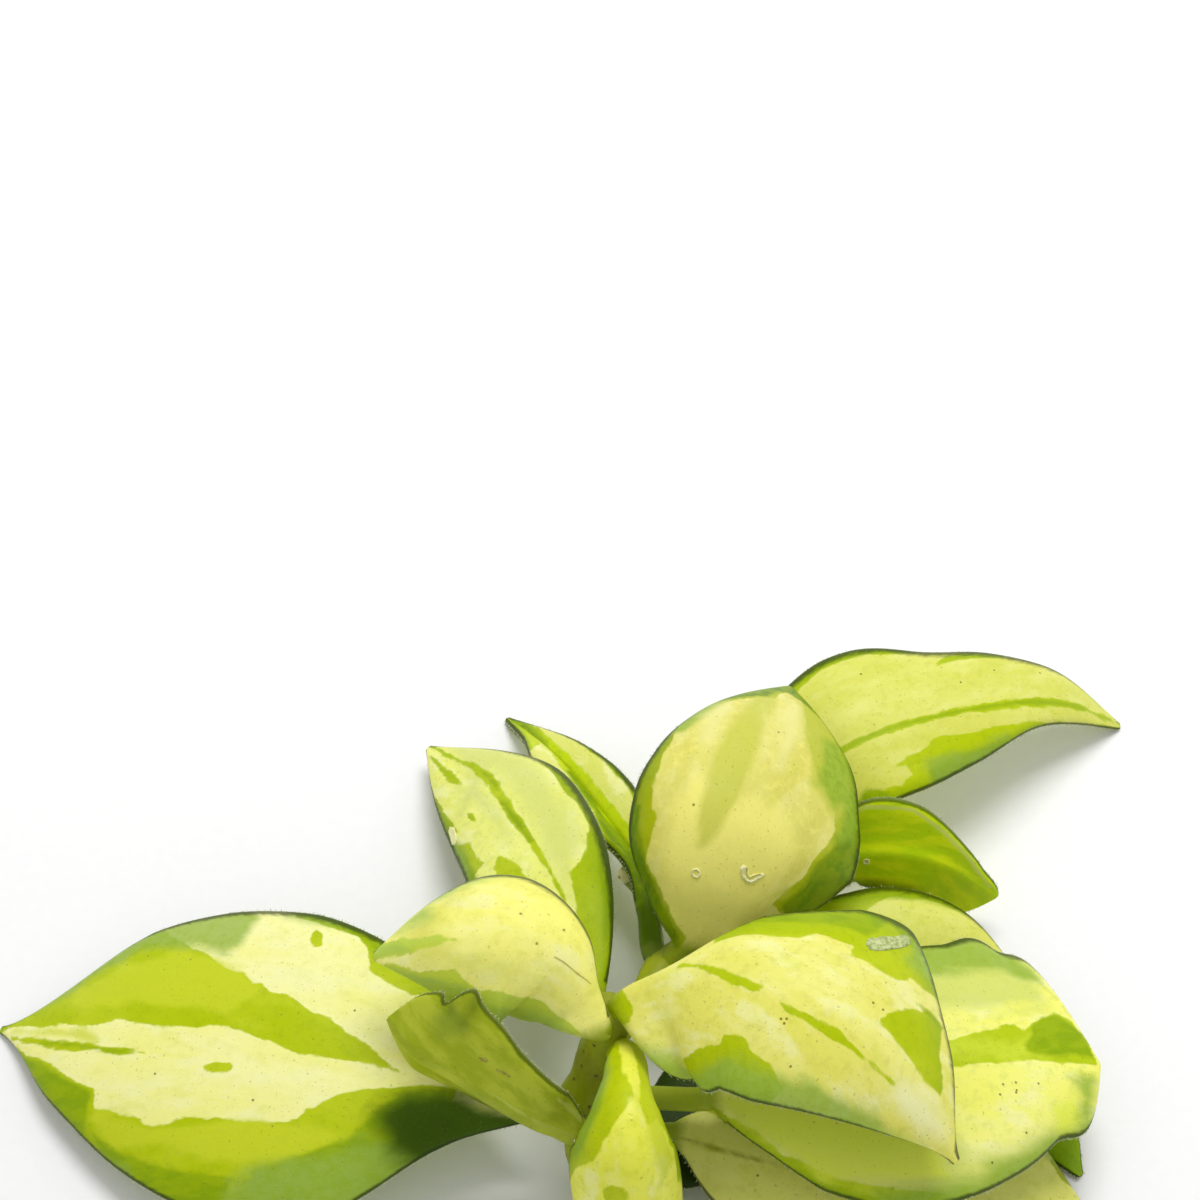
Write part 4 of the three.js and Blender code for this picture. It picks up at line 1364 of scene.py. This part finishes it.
# The leaf at the front
# A leaf of the third joint that hangs down in front of the stem with its point on the table. Lime
# runs down both its sides from the stalk, round a cream middle.
grow_leaf(
    "leaf_front_centre",
    "leaf_front_centre",
    "leaf",
    rims=((1.3, 1.3), (1.3, 1.3)),
    rib=[THIRD, (2, -4, 16.5), (2.2, -10.3, 19.5), (2.2, -14.4, 18), (2.6, -17.5, 12), (3.1, -22, 0)],
    face=((0, -0.2, 1), (0, -1, 0.5)),
    left=(1.8, 4.2, 5.4, 5.5, 4),
    right=(2.2, 4.8, 6.2, 6, 4),
    fold=(-20, -20),
    curl=(-50, -50),
    wave=0.08,
    patches={
        "lime": [
            [
                (-1, 0), (4, -0.5), (8, -1), (9.4, -1.5), (8.4, -2.4), (10, -3.6), (13, -4.6), (17, -4.8),
                (17, -8), (6, -5), (-1, -2),
            ],
            [
                (-1, 0.4), (3.6, 0.1), (7.6, -0.1), (8.8, 0.3), (10.4, 1.4), (12, 2.3), (13.4, 3.6),
                (14.6, 5), (17, 6), (18, 9), (6, 6), (-1, 3),
            ],
            [(14.2, 0.3), (15.2, 0), (17, 0.4), (16.6, 1.8), (15, 1.9), (14.3, 1.2)],
        ],
        "soft": [[(0, -0.4), (6, -0.7), (9, -1.4), (12, -2), (15, -3), (14, -4.5), (8, -3.2), (2, -1.6)]],
        "green": [
            [(0, -1.4), (5, -2.3), (9, -3.6), (13, -4.8), (17.4, -5.2), (17, -8), (5, -6)],
            [(-1, 1), (4, 1.4), (8, 2.2), (11, 3.6), (13, 5), (16, 6.4), (14, 9), (-1, 5)],
        ],
        "grey": [[(2, 1), (7, 1.4), (9.6, 2.2), (12, 3.6), (13.6, 5), (12, 6), (8, 4.4), (3, 3)]],
    },
    colours={
        "cream": paint(238, 241, 78), "pale": paint(243, 245, 100), "lime": paint(190, 205, 4),
        "wash": paint(210, 218, 60), "stalk": paint(176, 194, 20),
    },
)


# The hairs along the margins
# Short pale hairs, a third of a millimetre long, that stand out from the margin of every leaf and give
# it a soft light line. They grow out of the leaf skin.
HAIR_SEED = 11
HAIR_LENGTH = 0.34
HAIR_THICKNESS = 0.045
HAIRS_PER_ROOT = 3
HAIR_LEAN = 0.4
HAIR_SCATTER = 0.05
HAIR_SINK = 0.08
SHORTEST_SHARE = 0.45
LONGEST_SHARE = 1.25
rng = np.random.default_rng(HAIR_SEED)
hair_places, hair_ways = [], []
for root, outward in margin_hair_roots:
    for _ in range(HAIRS_PER_ROOT):
        way = outward + rng.normal(0, HAIR_LEAN, 3)
        hair_ways.append(way / np.linalg.norm(way))
        hair_places.append(root + rng.normal(0, HAIR_SCATTER, 3) - HAIR_SINK * outward)

hair_material, hair_tree, hair_shader = new_material("hair_skin", 0.6, 0.2)
hair_tones = object_noise(hair_tree, 300.0, 2.0)
hair_shade = mix_colours(hair_tree, hair_tones, paint(170, 184, 96), paint(240, 240, 214))
hair_tree.links.new(hair_shade, hair_shader.inputs["Base Color"])

growth = bpy.data.node_groups.new("hair_growth", "GeometryNodeTree")
growth.interface.new_socket("Roots", in_out="INPUT", socket_type="NodeSocketGeometry")
hair_sockets = {
    label: growth.interface.new_socket(label, in_out="INPUT", socket_type=kind)
    for label, kind in (
        ("Hair length", "NodeSocketFloat"), ("Hair thickness", "NodeSocketFloat"), ("Seed", "NodeSocketInt"),
    )
}
growth.interface.new_socket("Hairs", in_out="OUTPUT", socket_type="NodeSocketGeometry")
given = add_node(growth, "NodeGroupInput").outputs
cone_sockets = {
    "Vertices": 3, "Side Segments": 1, "Fill Segments": 1, "Radius Top": 0.0,
    "Radius Bottom": given["Hair thickness"], "Depth": given["Hair length"],
}
hair_shape = add_node(growth, "GeometryNodeMeshCone", cone_sockets)
outward_way = add_node(
    growth, "GeometryNodeInputNamedAttribute", {"Name": "outward"}, data_type="FLOAT_VECTOR"
)
turned = add_node(
    growth, "FunctionNodeAlignRotationToVector", {"Vector": outward_way.outputs["Attribute"]}, axis="Z"
)
stretch_sockets = {2: SHORTEST_SHARE, 3: LONGEST_SHARE, "Seed": given["Seed"]}
stretch = add_node(growth, "FunctionNodeRandomValue", stretch_sockets, data_type="FLOAT")
size = add_node(growth, "ShaderNodeCombineXYZ", {0: 1.0, 1: 1.0, 2: stretch.outputs[1]})
sockets = {
    "Points": given["Roots"], "Instance": hair_shape.outputs["Mesh"], "Rotation": turned.outputs[0],
    "Scale": size.outputs[0],
}
planted = add_node(growth, "GeometryNodeInstanceOnPoints", sockets)
real = add_node(growth, "GeometryNodeRealizeInstances", {0: planted.outputs[0]})
painted = add_node(
    growth, "GeometryNodeSetMaterial", {"Geometry": real.outputs[0], "Material": hair_material}
)
add_node(growth, "NodeGroupOutput", {0: painted.outputs[0]})

root_mesh = bpy.data.meshes.new("hair_roots")
root_mesh.from_pydata([tuple(p) for p in to_metres(hair_places)], [], [])
root_mesh.attributes.new("outward", "FLOAT_VECTOR", "POINT").data.foreach_set("vector", np.ravel(hair_ways))
hair_roots = bpy.data.objects.new("hair_roots", root_mesh)
bpy.context.scene.collection.objects.link(hair_roots)
grower = hair_roots.modifiers.new("hair_growth", "NODES")
grower.node_group = growth
hair_sizes = {
    "Hair length": HAIR_LENGTH * MILLIMETRE, "Hair thickness": HAIR_THICKNESS * MILLIMETRE, "Seed": HAIR_SEED,
}
for label, value in hair_sizes.items():
    grower[hair_sockets[label].identifier] = value
grown = bpy.data.meshes.new_from_object(hair_roots.evaluated_get(bpy.context.evaluated_depsgraph_get()))
grown.name = "margin_hairs"
bpy.data.objects.remove(hair_roots)
margin_hairs = bpy.data.objects.new("margin_hairs", grown)
bpy.context.scene.collection.objects.link(margin_hairs)
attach(margin_hairs, "root")


# The scars
# Old wounds healed over with a thin raised crust of cork: a grey oval on the leaf at the front right,
# an oval and a hook on the round leaf, and smaller ones on other leaves.
SOLID = ((-0.5, 1.0), (0.35, 0.98), (0.95, 0.86), (1.0, 0.7), (0.75, 0.45), (0.65, 0.2), (0.62, 0.0))
HOLLOW = ((-0.5, 1.0), (0.35, 0.98), (1.0, 0.88), (0.8, 0.68), (-0.3, 0.52), (-0.6, 0.3), (-0.6, 0.0))
SCAR_SINK = 0.7
SCARS = [
    ("leaf_front_right", "grey", 0.14, SOLID, [
        (20.2, -7.5), (20.7, -7.2), (21.3, -7.6), (22, -8.4), (22.4, -9), (22.9, -9.6), (23.4, -10.4),
        (23.8, -11.3), (23.6, -12), (23, -12.1), (22.5, -11.5), (22.2, -11), (21.7, -10.3), (21.1, -9.8),
        (20.7, -9.1), (20.1, -8.3),
    ]),
    ("round_leaf_centre", "pale", 0.14, HOLLOW, [
        (7.1, -1.9), (7.3, -2.2), (7.7, -2.2), (7.95, -1.9), (7.8, -1.5), (7.4, -1.35), (7.1, -1.5),
    ]),
    ("round_leaf_centre", "pale", 0.16, HOLLOW, [
        (8.3, 2.6), (8.7, 1.9), (9.3, 1.6), (9.7, 1.7), (9.6, 2.1), (9.1, 2.3), (8.8, 2.7), (9.2, 3.1),
        (9.6, 3.7), (9.5, 4.1), (9.1, 3.8), (8.6, 3.4), (8.3, 3.1),
    ]),
    ("leaf_back_left", "pale", 0.1, SOLID, [
        (26.6, -6.2), (27.4, -6.4), (28.3, -6), (29.2, -5.7), (29.4, -5.2), (28.5, -5), (27.6, -5.3),
        (26.8, -5.7),
    ]),
    ("dark_leaf_right", "pale", 0.12, HOLLOW, [
        (6.5, -0.9), (6.8, -1.2), (7.2, -1), (7.2, -0.5), (6.8, -0.3), (6.5, -0.5),
    ]),
    ("folded_leaf_left", "brown", 0.05, SOLID, [
        (9.9, -3.2), (10.6, -3.3), (11.3, -3.1), (11.3, -2.9), (10.5, -3), (9.9, -3),
    ]),
    ("folded_leaf_left", "brown", 0.05, SOLID, [
        (12.3, -3.3), (12.8, -3.3), (13.1, -2.9), (12.7, -2.8), (12.3, -3),
    ]),
    ("domed_leaf_left", "tan", 0.04, SOLID, [
        (4.3, 0.9), (5.6, 0.5), (7.2, 0.2), (8.1, 0.05), (8, 0.15), (6.6, 0.38), (4.8, 0.85),
    ]),
]
SCAR_COLOURS = {
    "grey": (paint(150, 166, 92), paint(210, 218, 156)),
    "pale": (paint(236, 230, 150), paint(252, 250, 200)),
    "brown": (paint(150, 146, 48), paint(178, 178, 78)),
    "tan": (paint(196, 184, 88), paint(214, 206, 116)),
}


def scar_material(name, low, high):
    """Dry cork, rough and mottled between two tones."""
    material, tree, shader = new_material(name, 0.7, 0.2)
    crust = object_noise(tree, 3200.0, 4.0)
    tone = mix_colours(tree, stretch_range(tree, crust, 0.35, 0.65), low, high)
    tree.links.new(tone, shader.inputs["Base Color"])
    roughen(tree, shader, crust, 0.6, 0.0002)
    return material


def skin_point(leaf_name, along, apart):
    """The place on the side of a blade that is seen, and the way it faces there."""
    away, across, points, facing, up = leaf_skins[leaf_name]
    side = -1 if leaf_name in ("folded_leaf_left", "dark_leaf_right") else 1
    chosen = np.flatnonzero(facing == side)
    chosen = chosen[np.argsort(across[len(across) // 2, chosen])]
    row = np.clip(np.searchsorted(away[:, 0], along) - 1, 0, len(away) - 2)
    share = (along - away[row, 0]) / (away[row + 1, 0] - away[row, 0])
    found = []
    for r in (row, row + 1):
        found.append([np.interp(apart, across[r, chosen], points[r, chosen, k]) for k in range(3)])
    place = np.array(found[0]) * (1 - share) + np.array(found[1]) * share
    return place, side * up[row]


scar_skins = {label: scar_material("scar_" + label, *pair) for label, pair in SCAR_COLOURS.items()}
for number, (leaf_name, tint, height, profile, outline) in enumerate(SCARS):
    outline = np.array(outline, float)
    middle = outline.mean(axis=0)
    points = []
    for level, reach in profile[:-1]:
        for corner in outline:
            place, way = skin_point(leaf_name, *(middle + (corner - middle) * reach))
            points.append(place + way * height * level)
    foot, foot_way = skin_point(leaf_name, *middle)
    points += [foot - foot_way * height * SCAR_SINK, foot + foot_way * height * profile[-1][0]]
    name = f"scar_{number + 1}_{leaf_name}"
    scar = new_mesh(name, to_metres(points), skin_faces(len(profile) - 1, len(outline)), scar_skins[tint])
    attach(scar, "root")


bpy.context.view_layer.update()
